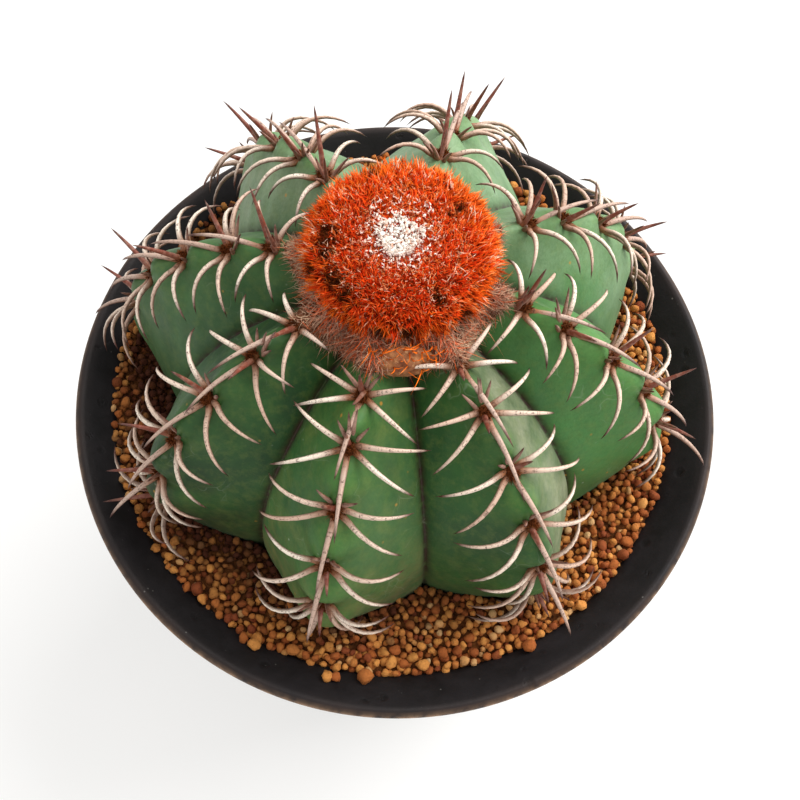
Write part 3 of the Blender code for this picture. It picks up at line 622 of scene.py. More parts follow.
def is_clear(points):
    """Whether points are away from the cap, the soil and the pot's lip."""
    out = np.linalg.norm(from_axis(points), axis=1)
    in_cap = (points[:, 2] - STEM_FOOT[2] > CAP_CLEAR_HEIGHT) & (out < CAP_CLEAR_RADIUS)
    reach = np.hypot(points[:, 0], points[:, 1])
    lowest = soil_level(points[:, 0], points[:, 1]) + SOIL_CLEARANCE
    lowest = np.where(reach > LIP_START_RADIUS, RIM_Z + RIM_ROUND + LIP_CLEARANCE, lowest)
    return bool(np.all(~in_cap & (reach < SPINE_REACH) & (points[:, 2] > lowest)))


def claw_line(root, along, outward, length, start, end, steps):
    """Points of an arc whose heading off the skin turns evenly from start to end degrees."""
    heading = np.radians(start + (end - start) * (np.arange(steps) + 0.5) / steps)[:, None]
    ahead = along * np.cos(heading) + outward * np.sin(heading)
    return np.concatenate(([root], root + np.cumsum(ahead * length / steps, axis=0)))


def claw(areole, along, length, turn, placed):
    """An arc from the areole that is lifted, swung or shortened until it passes clear of everything.

    An arc that turns down to the skin is raised in its middle by half a sine, and its root is drawn back.
    """
    root, outward = areole
    root = root + along * ROOT_SPREAD - outward * ROOT_DEPTH
    chosen = None
    for shrink, lift, swing in itertools.product(SHRINKS, LIFTS, SWINGS):
        reach = math.radians(swing)
        ahead = along * math.cos(reach) + np.cross(outward, along) * math.sin(reach)
        arc = (root, ahead, outward, length * shrink, turn[0] + lift, turn[1] + lift)
        fine = claw_line(*arc, PATH_TESTS)
        if not is_clear(fine[1:]):
            continue
        others = np.concatenate(placed) if placed else np.full((1, 3), 9.0)
        gaps = np.linalg.norm(fine[ROOT_TESTS:, None] - others[None], axis=2)
        apart = gaps.min() > SPINE_SPACING
        if apart or chosen is None:
            chosen = (arc, fine)
        if apart:
            break
    if chosen is None:
        return None
    placed.append(chosen[1][ROOT_TESTS:])
    line = claw_line(*chosen[0], SPINE_STEPS)
    if turn[1] < RIDGE_TURN[1]:
        line += outward * ARCH_LIFT * np.sin(np.pi * np.linspace(0.0, 1.0, SPINE_STEPS + 1))[:, None]
    line[0] += outward * ROOT_LIFT - chosen[0][1] * ROOT_BACK * math.cos(math.radians(chosen[0][4]))
    return line, np.cross(chosen[0][1], outward)


def central_heading(outward, arc):
    """Course of a central spine over the skin and its heading off it: outward, leaning to the back."""
    young, old = CENTRAL_LEANS
    lean = young + (old - young) * arc / LAST_AREOLE
    along = np.array((0.0, 1.0, 0.0)) - outward * outward[1]
    length = np.linalg.norm(along)
    return along / length, math.degrees(math.atan2(1.0 + lean * outward[1], lean * length))


def grow_bunch(rib, number, arc, placed, bunches):
    """Adds the spines of one areole: (path, side, kind) for each."""
    chance = random.Random(SPINE_SEED + 100 * rib + number)
    place, outward, downhill, sideways = areole_frame(rib, arc)
    if place[2] < soil_level(place[0], place[1]) + AREOLE_SOIL_ROOM:
        return
    areole = (place, outward)

    def vary(value, spread=0.08):
        return value * chance.uniform(1.0 - spread, 1.0 + spread)

    def spread_out(angle):
        reach = math.radians(angle + chance.uniform(-LATERAL_JITTER, LATERAL_JITTER))
        return sideways * math.cos(reach) - downhill * math.sin(reach)

    def grow(kind, where, along, length, turn):
        grown = claw(where, along, length, turn, placed)
        if grown:
            bunches.append((*grown, kind))

    side = 1 if chance.random() < 0.5 else -1
    swing = math.radians(chance.uniform(*RIDGE_SWINGS)) * (1 if sideways[1] > 0.0 else -1)
    along = downhill * math.cos(swing) + sideways * math.sin(swing)
    turn = (vary(RIDGE_TURN[0]), RIDGE_TURN[1])
    grow("ridge", areole, along, vary(RIDGE_LENGTH), turn)
    along, heading = central_heading(outward, arc)
    turn = (vary(heading - CENTRAL_BEND), vary(heading + CENTRAL_BEND))
    length = vary(CENTRAL_LENGTH * CENTRAL_SHARES[rib], CENTRAL_SPREAD)
    grow("central", (place - along * ROOT_SPREAD, outward), along, length, turn)
    growth = min(1.0, YOUNG_SHARE + (1.0 - YOUNG_SHARE) * arc / YOUNG_AREOLE)
    for angle, reach in LATERALS + (OLD_LATERALS if arc > OLD_AREOLE else ()):
        along = spread_out(angle)
        turn = tuple(vary(*each) for each in zip(LATERAL_TURN, LATERAL_SPREADS))
        grow("lateral", areole, along, vary(reach * growth), turn)
    along = spread_out(UPPER_ANGLE if side > 0 else 180.0 - UPPER_ANGLE)
    grow("upper", areole, along, vary(UPPER_LENGTH, UPPER_SPREADS[0]), UPPER_TURN)
    others = ((180.0 - UPPER_ANGLE if side > 0 else UPPER_ANGLE, 1.0),)
    for angle, share in others + (UPPER_YOUNG if arc < YOUNG_AREOLE else UPPER_OLD):
        along = spread_out(angle + chance.uniform(-UPPER_SWING, UPPER_SWING))
        grow("upper", areole, along, vary(UPPER_LENGTH * share, UPPER_SPREADS[1]), UPPER_TURN)


def swept_needles(paths, across, radii, sides):
    """Points and faces of closed needles, one along each path.

    A ring about each point of a path but its last is the radius times the cosine and the sine of the way
    round, along the needle's side and its upright; the last point closes the tip.
    """
    count, length = paths.shape[:2]
    tangent = unit(np.gradient(paths, axis=1))
    across = unit(across[:, None] - tangent * np.sum(across[:, None] * tangent, axis=-1, keepdims=True))
    upright = np.cross(tangent, across)
    turn = (2.0 * np.pi * np.arange(sides) / sides)[:, None]
    ring = np.cos(turn) * across[:, :-1, None] + np.sin(turn) * upright[:, :-1, None]
    rings = paths[:, :-1, None] + radii[:, :-1, None, None] * ring
    points = np.concatenate((rings.reshape(count, -1, 3), paths[:, -1:]), axis=1)
    each = (length - 1) * sides + 1
    needle, row, corner = np.mgrid[0:count, 0:length - 2, 0:sides]
    here = needle * each + row * sides
    after = (corner + 1) % sides
    quads = np.stack((here + corner, here + after, here + sides + after, here + sides + corner), axis=-1)
    needle, corner = np.mgrid[0:count, 0:sides]
    last = needle * each + (length - 2) * sides
    tips = np.stack((last + corner, last + (corner + 1) % sides, needle * each + each - 1), axis=-1)
    bases = needle * each + sides - 1 - corner
    return points.reshape(-1, 3), (quads.reshape(-1, 4), tips.reshape(-1, 3), bases)


def along_needles(count, length, sides):
    """The way from root to tip, from 0 to 1, at every point of the needles."""
    way = np.append(np.repeat(np.linspace(0.0, 1.0, length)[:-1], sides), 1.0)
    return np.tile(way, count)


def all_over(values, length, sides):
    """Each needle's own value, given to every point of it."""
    return np.repeat(values, (length - 1) * sides + 1)


def clawed_spines():
    """The spines of all areoles as needles, with values for every point.

    The radius is half the width times a power of the way to the tip, with a bell curve added at the root.
    The top goes by the sine of the way round, from 0 below a spine to 1 above it.
    """
    placed, bunches = [], []
    for rib, arcs in enumerate(AREOLE_ARCS):
        for number, arc in enumerate(arcs):
            grow_bunch(rib, number, arc, placed, bunches)
    paths, across, kinds = zip(*bunches)
    count, length = len(paths), SPINE_STEPS + 1
    way = np.linspace(0.0, 1.0, length)
    taper = 1.0 + ROOT_SWELL * np.exp(-(way / ROOT_SWELL_WAY) ** 2)
    taper = taper * (1.0 - TIP_LOSS * way) ** TAPER_POWER
    radii = 0.5 * np.array([SPINE_WIDTHS[kind] for kind in kinds])[:, None] * taper
    points, faces = swept_needles(np.array(paths), np.array(across), radii, SPINE_SIDES)
    height = 0.5 - 0.5 * np.sin(2.0 * np.pi * np.arange(SPINE_SIDES) / SPINE_SIDES)
    tones = np.random.default_rng(31).random(count)
    return points, faces, {
        "reach": along_needles(count, length, SPINE_SIDES),
        "top": np.tile(np.append(np.tile(height, SPINE_STEPS), 0.5), count),
        "kind": all_over([SPINE_KINDS[kind] for kind in kinds], length, SPINE_SIDES),
        "tone": all_over(tones, length, SPINE_SIDES),
    }


def horny_spine():
    """Ivory horn: brown at the root, dark at the tip, rusty or mauve by its kind, flecked lengthwise, with
    painted shade underneath.
    """
    material, tree, shader, place = new_finish("horny_spine", Roughness=0.52, Specular_IOR_Level=0.4)
    kind = attribute(tree, "kind")
    reach = attribute(tree, "reach")
    tone = attribute(tree, "tone")
    body = blend(tree, tone, SPINE_IVORY, SPINE_PINK)
    body = blend(tree, between(tree, kind, 0.1, 0.5), body, SPINE_MAUVE)
    # Painted shade: each spine is darker on its underside.
    under = between(tree, attribute(tree, "top"), 0.86, 0.40)
    body = blend(tree, under, body, SPINE_UNDER_SHADE, 0.85)
    body = blend(tree, between(tree, kind, 0.55, 1.0), body, SPINE_RUST)
    root = between(tree, times(tree, reach, times(tree, tone, 0.08), "ADD"), 0.30, 0.10)
    colour = blend(tree, root, body, SPINE_BASE)
    tip = between(tree, times(tree, reach, times(tree, tone, 0.10), "SUBTRACT"), 0.66, 0.86)
    colour = blend(tree, tip, colour, SPINE_TIP)
    lengthwise = {"X": times(tree, reach, 20.0), "Y": times(tree, tone, 190.0),
                  "Z": times(tree, attribute(tree, "top"), 5.0)}
    lie = add(tree, "CombineXYZ", lengthwise).outputs[0]
    streaks = between(tree, noise(tree, lie, 1.7, 3.0, 0.6), 0.56, 0.62)
    colour = blend(tree, streaks, colour, SPINE_FLECK, 0.8)
    weathered = clouding(tree, place, 0.45, 0.70, 900.0, 3.0)
    colour = blend(tree, weathered, colour, SPINE_PINK, 0.25)
    tree.links.new(colour, shader.inputs["Base Color"])
    bump(tree, shader, noise(tree, place, 2400.0, 3.0), 0.00008)
    return material


points, faces, values = clawed_spines()
spines = new_piece("spines", points, faces, horny_spine(), values)

# Areole felt
# A small cushion of reddish-brown felt in the notch above each swelling, from which the spines grow. It is
# made of short hairs matted together, greyer with age, and grows from the skin.
PAD_RADII = np.array((0.0013, 0.0011, 0.0007))
FELT_ROOM = 0.001
FELT_HAIRS = 110
FELT_LENGTH = (0.0004, 0.0010)
FELT_WIDTH = 0.00015
SHORT_STEPS = 3
LONG_STEPS = 4
HAIR_SIDES = 3
FELT_DARK = shade(58, 28, 15)
FELT_RED = shade(138, 76, 40)
FELT_GREY = shade(158, 112, 76)


def ball_points():
    """Points and triangles of a unit ball: an icosahedron with each face cut in four."""
    mesh = bpy.data.meshes.new("ball")
    shape = bmesh.new()
    bmesh.ops.create_icosphere(shape, subdivisions=2, radius=1.0)
    shape.to_mesh(mesh)
    shape.free()
    points = np.array([vertex.co for vertex in mesh.vertices])
    faces = np.array([face.vertices for face in mesh.polygons])
    bpy.data.meshes.remove(mesh)
    return points, faces


BALL_POINTS, BALL_FACES = ball_points()


def many_balls(places, shapes):
    """Points and faces of balls, each turned and stretched by its own 3 by 3 shape and put in place."""
    points = np.einsum("nij,kj->nki", shapes, BALL_POINTS) + places[:, None]
    faces = BALL_FACES[None] + (np.arange(len(places)) * len(BALL_POINTS))[:, None, None]
    return points.reshape(-1, 3), faces.reshape(-1, 3)


def fine_hairs(roots, heads, sags, lengths, widths, steps=LONG_STEPS):
    """Thin three-sided hairs: root + head * length * way + sag * length * way squared."""
    way = np.linspace(0.0, 1.0, steps)
    reach = lengths[:, None, None] * way[:, None]
    paths = roots[:, None] + heads[:, None] * reach + sags[:, None] * reach * way[:, None]
    across = np.cross(heads, heads[:, [1, 2, 0]] + 0.31)
    return swept_needles(paths, across, 0.5 * widths[:, None] * (1.0 - 0.7 * way), HAIR_SIDES)


def over_hairs(steps, **own):
    """Each hair's own values, given to every point of it."""
    return {key: all_over(value, steps, HAIR_SIDES) for key, value in own.items()}


def joined(balls, hairs):
    """Points and faces of balls and hairs as one piece."""
    points, faces = balls
    hair_points, hair_faces = hairs
    return np.concatenate((points, hair_points)), (faces, *(part + len(points) for part in hair_faces))


def felt_pads():
    """A flattened ball on each areole, with hairs all over its outer half.

    The roots lie evenly over the pad as seen from outside: the square of the distance from its middle is
    an even draw. A heading is the root's place on the ball with a normal error.
    """
    draw = np.random.default_rng(5)
    areoles = [areole_frame(rib, arc) for rib, arcs in enumerate(AREOLE_ARCS) for arc in arcs]
    shown = [each for each in areoles if each[0][2] > soil_level(*each[0][:2]) + FELT_ROOM]
    places = np.array([place for place, *_ in shown])
    turns = np.array([np.stack((downhill, sideways, outward), axis=1)
                      for _, outward, downhill, sideways in shown])
    count = len(places) * FELT_HAIRS
    low = draw.random(count)
    spin = draw.uniform(0.0, 2.0 * np.pi, count)
    local = np.stack((np.sqrt(low) * np.cos(spin), np.sqrt(low) * np.sin(spin), np.sqrt(1.0 - low)), axis=1)
    turn_each = np.repeat(turns, FELT_HAIRS, axis=0)
    roots = np.einsum("nij,nj->ni", turn_each, local * PAD_RADII * 0.9)
    roots = np.repeat(places, FELT_HAIRS, axis=0) + roots
    heads = unit(np.einsum("nij,nj->ni", turn_each, local + draw.normal(0.0, 0.45, (count, 3))))
    lengths = draw.uniform(*FELT_LENGTH, count)
    sags = draw.normal(0.0, 0.25, (count, 3))
    hairs = fine_hairs(roots, heads, sags, lengths, np.full(count, FELT_WIDTH), SHORT_STEPS)
    points, faces = joined(many_balls(places, turns * PAD_RADII), hairs)
    pad_tone = np.full(len(places) * len(BALL_POINTS), 0.2)
    hair_tone = over_hairs(SHORT_STEPS, tone=draw.random(count))["tone"]
    return points, faces, {"tone": np.append(pad_tone, hair_tone)}


def brown_felt():
    """Felt of red-brown and greyish hairs."""
    material, tree, shader, place = new_finish("brown_felt", Roughness=1.0, Specular_IOR_Level=0.0)
    colour = blend(tree, attribute(tree, "tone"), FELT_DARK, FELT_RED)
    grey = clouding(tree, place, 0.55, 0.72, 600.0, 3.0)
    colour = blend(tree, grey, colour, FELT_GREY, 0.6)
    tree.links.new(colour, shader.inputs["Base Color"])
    bump(tree, shader, noise(tree, place, 3000.0, 3.0), 0.0002)
    return material


points, faces, values = felt_pads()
felt = new_piece("areole_felt", points, faces, brown_felt(), values)

# Cap
# The cap (cephalium) is a low dome of packed wool on the stem's top. Stiff red and orange bristles stand
# out of it all round, white wool fills its centre, and old grey wool hangs from its edge over the ribs.
CAP_REACH = 0.0143
CAP_TO_BACK = 0.0020
CAP_BACK = math.radians(80.0)
CAP_SHOULDER = 0.0452
CAP_RISE = 0.0052
CAP_EDGE = 1.35
CAP_ROWS = np.linspace(0.04, CAP_EDGE, 26)
COLLAR_SHARES = (0.085, 0.080)
COLLAR_LIFTS = (0.0008, 0.0004)
CAP_GAP = 0.00035
SKIRT_ROWS = 7
SKIRT_SWELL = 0.0006
SKIRT_WAVE = 0.00045
UNDER_SHARES = (0.066, 0.033, 0.0)
BARE_SIZE = 0.085
CORE_COLUMNS = 184
# The first colour is painted shade for the wool in gaps, holes and under the outer bristles.
WOOL_PAINTED_SHADE = shade(62, 28, 18)
WOOL_WHITE = shade(244, 232, 220)
WOOL_PINK = shade(206, 96, 52)
WOOL_RED = shade(170, 46, 18)
WOOL_TAN = shade(166, 114, 84)
WOOL_BROWN = shade(92, 54, 38)
BARE_SPOTS = ((3.09, 0.57), (2.95, 0.56), (3.28, 0.585), (3.60, 0.63), (3.74, 0.655), (3.97, 0.69),
              (0.70, 0.50), (-1.38, 1.0), (-1.76, 1.08), (-0.92, 0.55), (-0.71, 1.05), (3.35, 0.95),
              (1.9, 0.8))


def half_turn(azimuth):
    """The same azimuth, told from minus to plus half a turn."""
    return np.arctan2(np.sin(azimuth), np.cos(azimuth))


def bareness(azimuth, share):
    """How bare the cap is: a bell curve about each bare spot, the largest of them."""
    bare = np.zeros(np.broadcast(azimuth, share).shape)
    for spot_azimuth, spot_share in BARE_SPOTS:
        away = 0.9 * half_turn(azimuth - spot_azimuth)
        bare = np.maximum(bare, np.exp(-(np.hypot(away, share - spot_share) / BARE_SIZE) ** 2))
    return bare


def cap_dome(azimuth, share):
    """Points of the cap's dome, from its centre at 0 past its shoulder at 1.

    The radius is the reach times a power of the cosine and the height the rise times a power of the sine.
    """
    angle = 0.5 * np.pi * (1.0 - share)
    reach = CAP_REACH + CAP_TO_BACK * np.cos(azimuth - CAP_BACK)
    lift = np.sign(np.sin(angle)) * np.abs(np.sin(angle)) ** 0.85
    return about_axis(reach * np.cos(angle) ** 0.75, azimuth, CAP_SHOULDER + CAP_RISE * lift)


def cap_core():
    """The dome, a skirt that goes over to the stem's skin, and an underside just above the skin.

    The skirt goes straight from the dome's last ring to the collar's first, and swells by half a sine of
    the way times a wave of the azimuth.
    """
    turn = np.arange(CORE_COLUMNS) * RIB_COUNT / CORE_COLUMNS
    under = [stem_skin(turn, share, CAP_GAP, detail=False)[0] for share in UNDER_SHARES]
    collar = [stem_skin(turn, *at, detail=False)[0] for at in zip(COLLAR_SHARES, COLLAR_LIFTS)]
    edge = from_axis(collar[0])
    azimuth = np.arctan2(edge[:, 1], edge[:, 0])
    dome = cap_dome(azimuth, CAP_ROWS[:, None])
    way = np.linspace(0.0, 1.0, SKIRT_ROWS + 2)[1:-1, None, None]
    skirt = dome[-1] * (1.0 - way) + collar[0] * way
    wave = SKIRT_WAVE * np.sin(13.0 * azimuth + 2.0 * np.sin(5.0 * azimuth))[None, :, None]
    skirt = skirt + unit(edge) * (wave + SKIRT_SWELL) * np.sin(np.pi * way)
    rings = np.concatenate((dome, skirt, collar, under))
    below = len(rings) - len(CAP_ROWS)
    warmth = np.append(CAP_ROWS / CAP_EDGE, np.ones(below))
    low = np.append(np.zeros(len(CAP_ROWS)), np.linspace(0.0, 1.0, SKIRT_ROWS))
    low = np.append(low, np.ones(below - SKIRT_ROWS))
    top = axis_at(CAP_SHOULDER + CAP_RISE)
    bottom = axis_at(under[-1][:, 2].mean() - STEM_FOOT[2])
    points, faces = capped_rings(rings, top, bottom)
    bare = np.zeros((len(rings), CORE_COLUMNS))
    bare[:len(CAP_ROWS)] = bareness(azimuth, CAP_ROWS[:, None])
    spread = {"warmth": warmth, "low": low}
    values = {k: np.append(np.repeat(v, CORE_COLUMNS), (v[0], v[-1])) for k, v in spread.items()}
    values["bare"] = np.append(bare.ravel(), (0.0, 0.0))
    return points, faces, values


def packed_wool():
    """Matted wool: pink in the middle, red-brown going to painted shade under the outer bristles, tan and
    brown on the skirt, painted shade in gaps and bare holes.
    """
    material, tree, shader, place = new_finish("packed_wool", Roughness=1.0, Specular_IOR_Level=0.0)
    fibres = clouding(tree, place, 0.35, 0.65, 900.0, 6.0, 0.7)
    middle = blend(tree, fibres, WOOL_RED, WOOL_PINK)
    # Painted shade: the wool under the leaning outer bristles is darker.
    outer = blend(tree, fibres, WOOL_PAINTED_SHADE, WOOL_RED)
    colour = blend(tree, between(tree, attribute(tree, "warmth"), 0.25, 0.75), middle, outer)
    specks = clouding(tree, place, 0.40, 0.58, 1900.0, 2.0)
    white = times(tree, between(tree, attribute(tree, "warmth"), 0.088, 0.060), specks)
    colour = blend(tree, white, colour, WOOL_WHITE)
    old = blend(tree, fibres, WOOL_BROWN, WOOL_TAN)
    colour = blend(tree, between(tree, attribute(tree, "low"), 0.0, 0.4), colour, old)
    # Painted shade in patches of the gaps and in the cap's bare holes.
    dark = clouding(tree, place, 0.52, 0.66, 260.0, 3.0)
    dark = times(tree, times(tree, dark, 0.6), attribute(tree, "bare"), "MAXIMUM")
    colour = blend(tree, dark, colour, WOOL_PAINTED_SHADE)
    tree.links.new(colour, shader.inputs["Base Color"])
    bump(tree, shader, noise(tree, place, 1400.0, 5.0, 0.7), 0.0006)
    return material


points, faces, values = cap_core()
core = new_piece("cap_core", points, faces, packed_wool(), values)
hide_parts("cephalium")

# Cap bristles
# Thousands of stiff bristles that grow from the cap's wool, 2 to 3 mm long. They stand up near the centre,
# lean out more and more to the edge, and go from deep red to orange, with painted shade at their roots and
# painted highlights near their tips.
BRISTLES = 12600
BRISTLE_CLUMPS = 560
BRISTLE_REACH = (0.03, 1.28)
BRISTLE_SPREAD = 0.042
CLUMP_SPLAY = 0.0021
EDGE_TO_BACK = 0.09
BRISTLE_EDGE = 1.17
BRISTLE_LEAN = (8.0, 74.0)
LEAN_ERROR = 9.0
TURN_ERROR = 0.22
ROOT_SINK = 0.0004
KEPT_LEAST = 0.12
KEPT_AT = (0.15, 0.35)
KEPT_RISE = 1.3
CLUMP_SWING = 0.16
CLUMP_LENGTHS = (0.70, 1.28)
MIDDLE_LENGTH = 0.50
FULL_LENGTH_AT = 0.6
BARE_RIM = 0.10
BARE_LOSS = 0.45
BRISTLE_SAG = 0.10
WARM_FROM = 0.35
WARM_RISE = 0.90
WARM_TO_BACK = 0.24
WARM_ERRORS = (0.14, 0.20)
BRISTLE_CLUMP_TONE = 0.25
GOLDEN_ANGLE = math.pi * (3.0 - math.sqrt(5.0))
BRISTLE_LENGTH = (0.0018, 0.0030)
BRISTLE_WIDTH = (0.00019, 0.00034)
# The first colour is painted shade for the cap's holes; the last two are painted highlights near the tips.
BRISTLE_HOLE_SHADE = shade(40, 16, 10)
BRISTLE_DARK = shade(104, 20, 8)
BRISTLE_RED = shade(238, 58, 16)
BRISTLE_ORANGE = shade(252, 124, 34)
BRISTLE_GLINT = shade(254, 190, 124)
BRISTLE_CREAM_HIGHLIGHT = shade(255, 230, 200)


def even_shares(count, low, high):
    """Shares of the dome that give each piece of its surface the same number of roots.

    The surface up to a share is the sum of short steps down the dome times their distance from the axis.
    """
    share = np.linspace(low, high, 400)
    line = cap_dome(np.full(400, CAP_BACK), share)
    out = np.linalg.norm(from_axis(line), axis=1)
    steps = np.linalg.norm(np.diff(line, axis=0), axis=1) * 0.5 * (out[1:] + out[:-1])
    area = np.concatenate(([0.0], np.cumsum(steps)))
    return np.interp((np.arange(count) + 0.5) / count * area[-1], area, share)


def sown(draw, count, clumps, reach, spread, inmost, first_turn=0.0):
    """(clump, share, azimuth) of roots thrown about clumps, and the clumps' own places.

    Each clump stands a golden angle on from the last, and each root lies off its clump by a normal error.
    """
    clump_share = even_shares(clumps, *reach)
    clump_azimuth = np.arange(clumps) * GOLDEN_ANGLE + first_turn
    clump = draw.integers(0, clumps, count)
    share = np.abs(clump_share[clump] + draw.normal(0.0, spread, count))
    azimuth = clump_azimuth[clump] + draw.normal(0.0, spread, count) / np.maximum(share, inmost)
    return clump, share, half_turn(azimuth), cap_dome(clump_azimuth, clump_share)


def bristle_heads(azimuth, share, draw):
    """Headings that lean out from upright by an angle that grows with a power of the share."""
    count = len(azimuth)
    least, more = BRISTLE_LEAN
    lean = np.radians(least + more * share ** 1.6 + draw.normal(0.0, LEAN_ERROR, count))
    turn = azimuth + draw.normal(0.0, TURN_ERROR, count)
    return np.stack((np.sin(lean) * np.cos(turn), np.sin(lean) * np.sin(turn), np.cos(lean)), axis=1)


def shared_tone(draw, clump, clumps, clump_part):
    """Random tones, part of each being the hair's own and part its clump's."""
    return (1.0 - clump_part) * draw.random(len(clump)) + clump_part * draw.random(clumps)[clump]


def clumped_bristles():
    """Bristles that splay out from the middle of their clump, fewer in the cap's middle.

    The length grows with the share, and the warmth with the share and to the cap's back. Both have an error
    of the bristle's own and one of its clump's. Bristles by a bare spot are shorter.
    """
    draw = np.random.default_rng(17)
    sowing = (BRISTLES, BRISTLE_CLUMPS, BRISTLE_REACH, BRISTLE_SPREAD, 0.12)
    clump, share, azimuth, middles = sown(draw, *sowing)
    keep = share < BRISTLE_EDGE + EDGE_TO_BACK * np.cos(azimuth - CAP_BACK)
    kept_share = np.clip(KEPT_AT[1] + KEPT_RISE * (share - KEPT_AT[0]), KEPT_LEAST, 1.0)
    keep &= draw.random(BRISTLES) < kept_share
    clump, share, azimuth = clump[keep], share[keep], azimuth[keep]
    count = len(share)
    roots = cap_dome(azimuth, share)
    swing = draw.normal(0.0, CLUMP_SWING, (BRISTLE_CLUMPS, 3))[clump]
    heads = unit(bristle_heads(azimuth, share, draw) + swing - (roots - middles[clump]) / CLUMP_SPLAY)
    bare = np.maximum(bareness(azimuth, share), bareness(azimuth, share + BARE_RIM))
    growth = MIDDLE_LENGTH + (1.0 - MIDDLE_LENGTH) * np.clip(share / FULL_LENGTH_AT, 0.0, 1.0)
    lengths = draw.uniform(*BRISTLE_LENGTH, count) * growth
    lengths = lengths * draw.uniform(*CLUMP_LENGTHS, BRISTLE_CLUMPS)[clump] * (1.0 - BARE_LOSS * bare)
    widths = draw.uniform(*BRISTLE_WIDTH, count)
    droop = np.array((0.0, 0.0, -BRISTLE_SAG)) * share[:, None]
    sags = draw.normal(0.0, BRISTLE_SAG, (count, 3)) + droop
    points, faces = fine_hairs(roots - heads * ROOT_SINK, heads, sags, lengths, widths)
    warmth = WARM_RISE * (share - WARM_FROM) + WARM_TO_BACK * np.cos(azimuth - CAP_BACK)
    warmth = warmth + draw.normal(0.0, WARM_ERRORS[0], count)
    warmth = warmth + draw.normal(0.0, WARM_ERRORS[1], BRISTLE_CLUMPS)[clump]
    tone = shared_tone(draw, clump, BRISTLE_CLUMPS, BRISTLE_CLUMP_TONE)
    values = over_hairs(LONG_STEPS, warmth=np.clip(warmth, 0.0, 1.0), tone=tone, bare=bare)
    return points, faces, {"reach": along_needles(count, LONG_STEPS, HAIR_SIDES), **values}


def fiery_bristle():
    """Red to orange bristle, each with its own tone: painted shade at its root and in the cap's holes,
    painted highlights near its tip.
    """
    material, tree, shader, place = new_finish("fiery_bristle", Roughness=0.65, Specular_IOR_Level=0.03)
    warmth = attribute(tree, "warmth")
    tone = attribute(tree, "tone")
    reach = attribute(tree, "reach")
    colour = blend(tree, warmth, BRISTLE_RED, BRISTLE_ORANGE)
    warm = times(tree, between(tree, tone, 0.45, 0.75), between(tree, reach, 0.10, 0.7))
    warm = times(tree, warm, between(tree, warmth, -0.35, 0.6))
    colour = blend(tree, warm, colour, BRISTLE_ORANGE, 0.8)
    deep = between(tree, tone, 0.38, 0.12)
    colour = blend(tree, deep, colour, BRISTLE_DARK, 0.85)
    # Painted highlights: pale glints toward the tips of the outer bristles, and cream streaks on a few of
    # them.
    glint = times(tree, between(tree, tone, 0.66, 0.88), between(tree, reach, 0.25, 0.9))
    outer = between(tree, warmth, -0.2, 0.15)
    colour = blend(tree, times(tree, glint, outer), colour, BRISTLE_GLINT, 0.85)
    cream = times(tree, between(tree, tone, 0.86, 0.91), outer)
    colour = blend(tree, cream, colour, BRISTLE_CREAM_HIGHLIGHT)
    # Painted shade down among the bristles, at their roots.
    root = between(tree, reach, 0.50, 0.0)
    colour = blend(tree, root, colour, BRISTLE_DARK, 0.75)
    # Painted shade in the cap's holes: the bristles there are near black.
    bare = attribute(tree, "bare")
    colour = blend(tree, between(tree, bare, 0.15, 0.6), colour, BRISTLE_HOLE_SHADE)
    streaks = clouding(tree, place, 0.35, 0.7, 2600.0, 2.0)
    colour = blend(tree, streaks, colour, BRISTLE_ORANGE, 0.15)
    tree.links.new(colour, shader.inputs["Base Color"])
    return material


bristle_finish = fiery_bristle()
points, faces, values = clumped_bristles()
bristles = new_piece("cap_bristles", points, faces, bristle_finish, values)

# Red wool
# Short curly wool, red and orange with tan and dark fibres. It grows from the cap's dome and fills the room
# between the bristles in the cap's middle.
RED_HAIRS = 7200
RED_CLUMPS = 460
RED_REACH = (0.05, 0.74)
RED_SPREAD = 0.030
RED_LENGTH = (0.0007, 0.0015)
RED_WIDTH = (0.00016, 0.00026)
RED_BARE_LOSS = 1.6
RED_LEAN = 0.6
RED_ERRORS = (0.45, 0.25)
RED_CLUMP_LENGTHS = (0.7, 1.2)
RED_FULL_AT = 0.12
RED_MIDDLE_LENGTH = 0.45
RED_SAG = 0.45
RED_CLUMP_TONE = 0.4
WOOL_DEEP = shade(118, 26, 10)
WOOL_SCARLET = shade(246, 66, 24)
WOOL_ORANGE = shade(252, 124, 50)
WOOL_STRAW = shade(244, 186, 134)


def curly_wool():
    """Short hairs in clumps, with headings and sags of large normal errors.

    They are left out where the cap is bare, and shorter at its very middle.
    """
    draw = np.random.default_rng(29)
    sowing = (RED_HAIRS, RED_CLUMPS, RED_REACH, RED_SPREAD, 0.10, 1.0)
    clump, share, azimuth, _ = sown(draw, *sowing)
    keep = draw.random(RED_HAIRS) > RED_BARE_LOSS * bareness(azimuth, share)
    clump, share, azimuth = clump[keep], share[keep], azimuth[keep]
    count = len(share)
    heads = bristle_heads(azimuth, RED_LEAN * share, draw) + draw.normal(0.0, RED_ERRORS[0], (count, 3))
    heads = unit(heads + draw.normal(0.0, RED_ERRORS[1], (RED_CLUMPS, 3))[clump])
    lengths = draw.uniform(*RED_LENGTH, count) * draw.uniform(*RED_CLUMP_LENGTHS, RED_CLUMPS)[clump]
    lengths = lengths * np.clip(share / RED_FULL_AT, RED_MIDDLE_LENGTH, 1.0)
    sags = draw.normal(0.0, RED_SAG, (count, 3))
    roots = cap_dome(azimuth, share) - heads * 0.5 * ROOT_SINK
    points, faces = fine_hairs(roots, heads, sags, lengths, draw.uniform(*RED_WIDTH, count), SHORT_STEPS)
    values = over_hairs(SHORT_STEPS, tone=shared_tone(draw, clump, RED_CLUMPS, RED_CLUMP_TONE))
    return points, faces, {"reach": along_needles(count, SHORT_STEPS, HAIR_SIDES), **values}


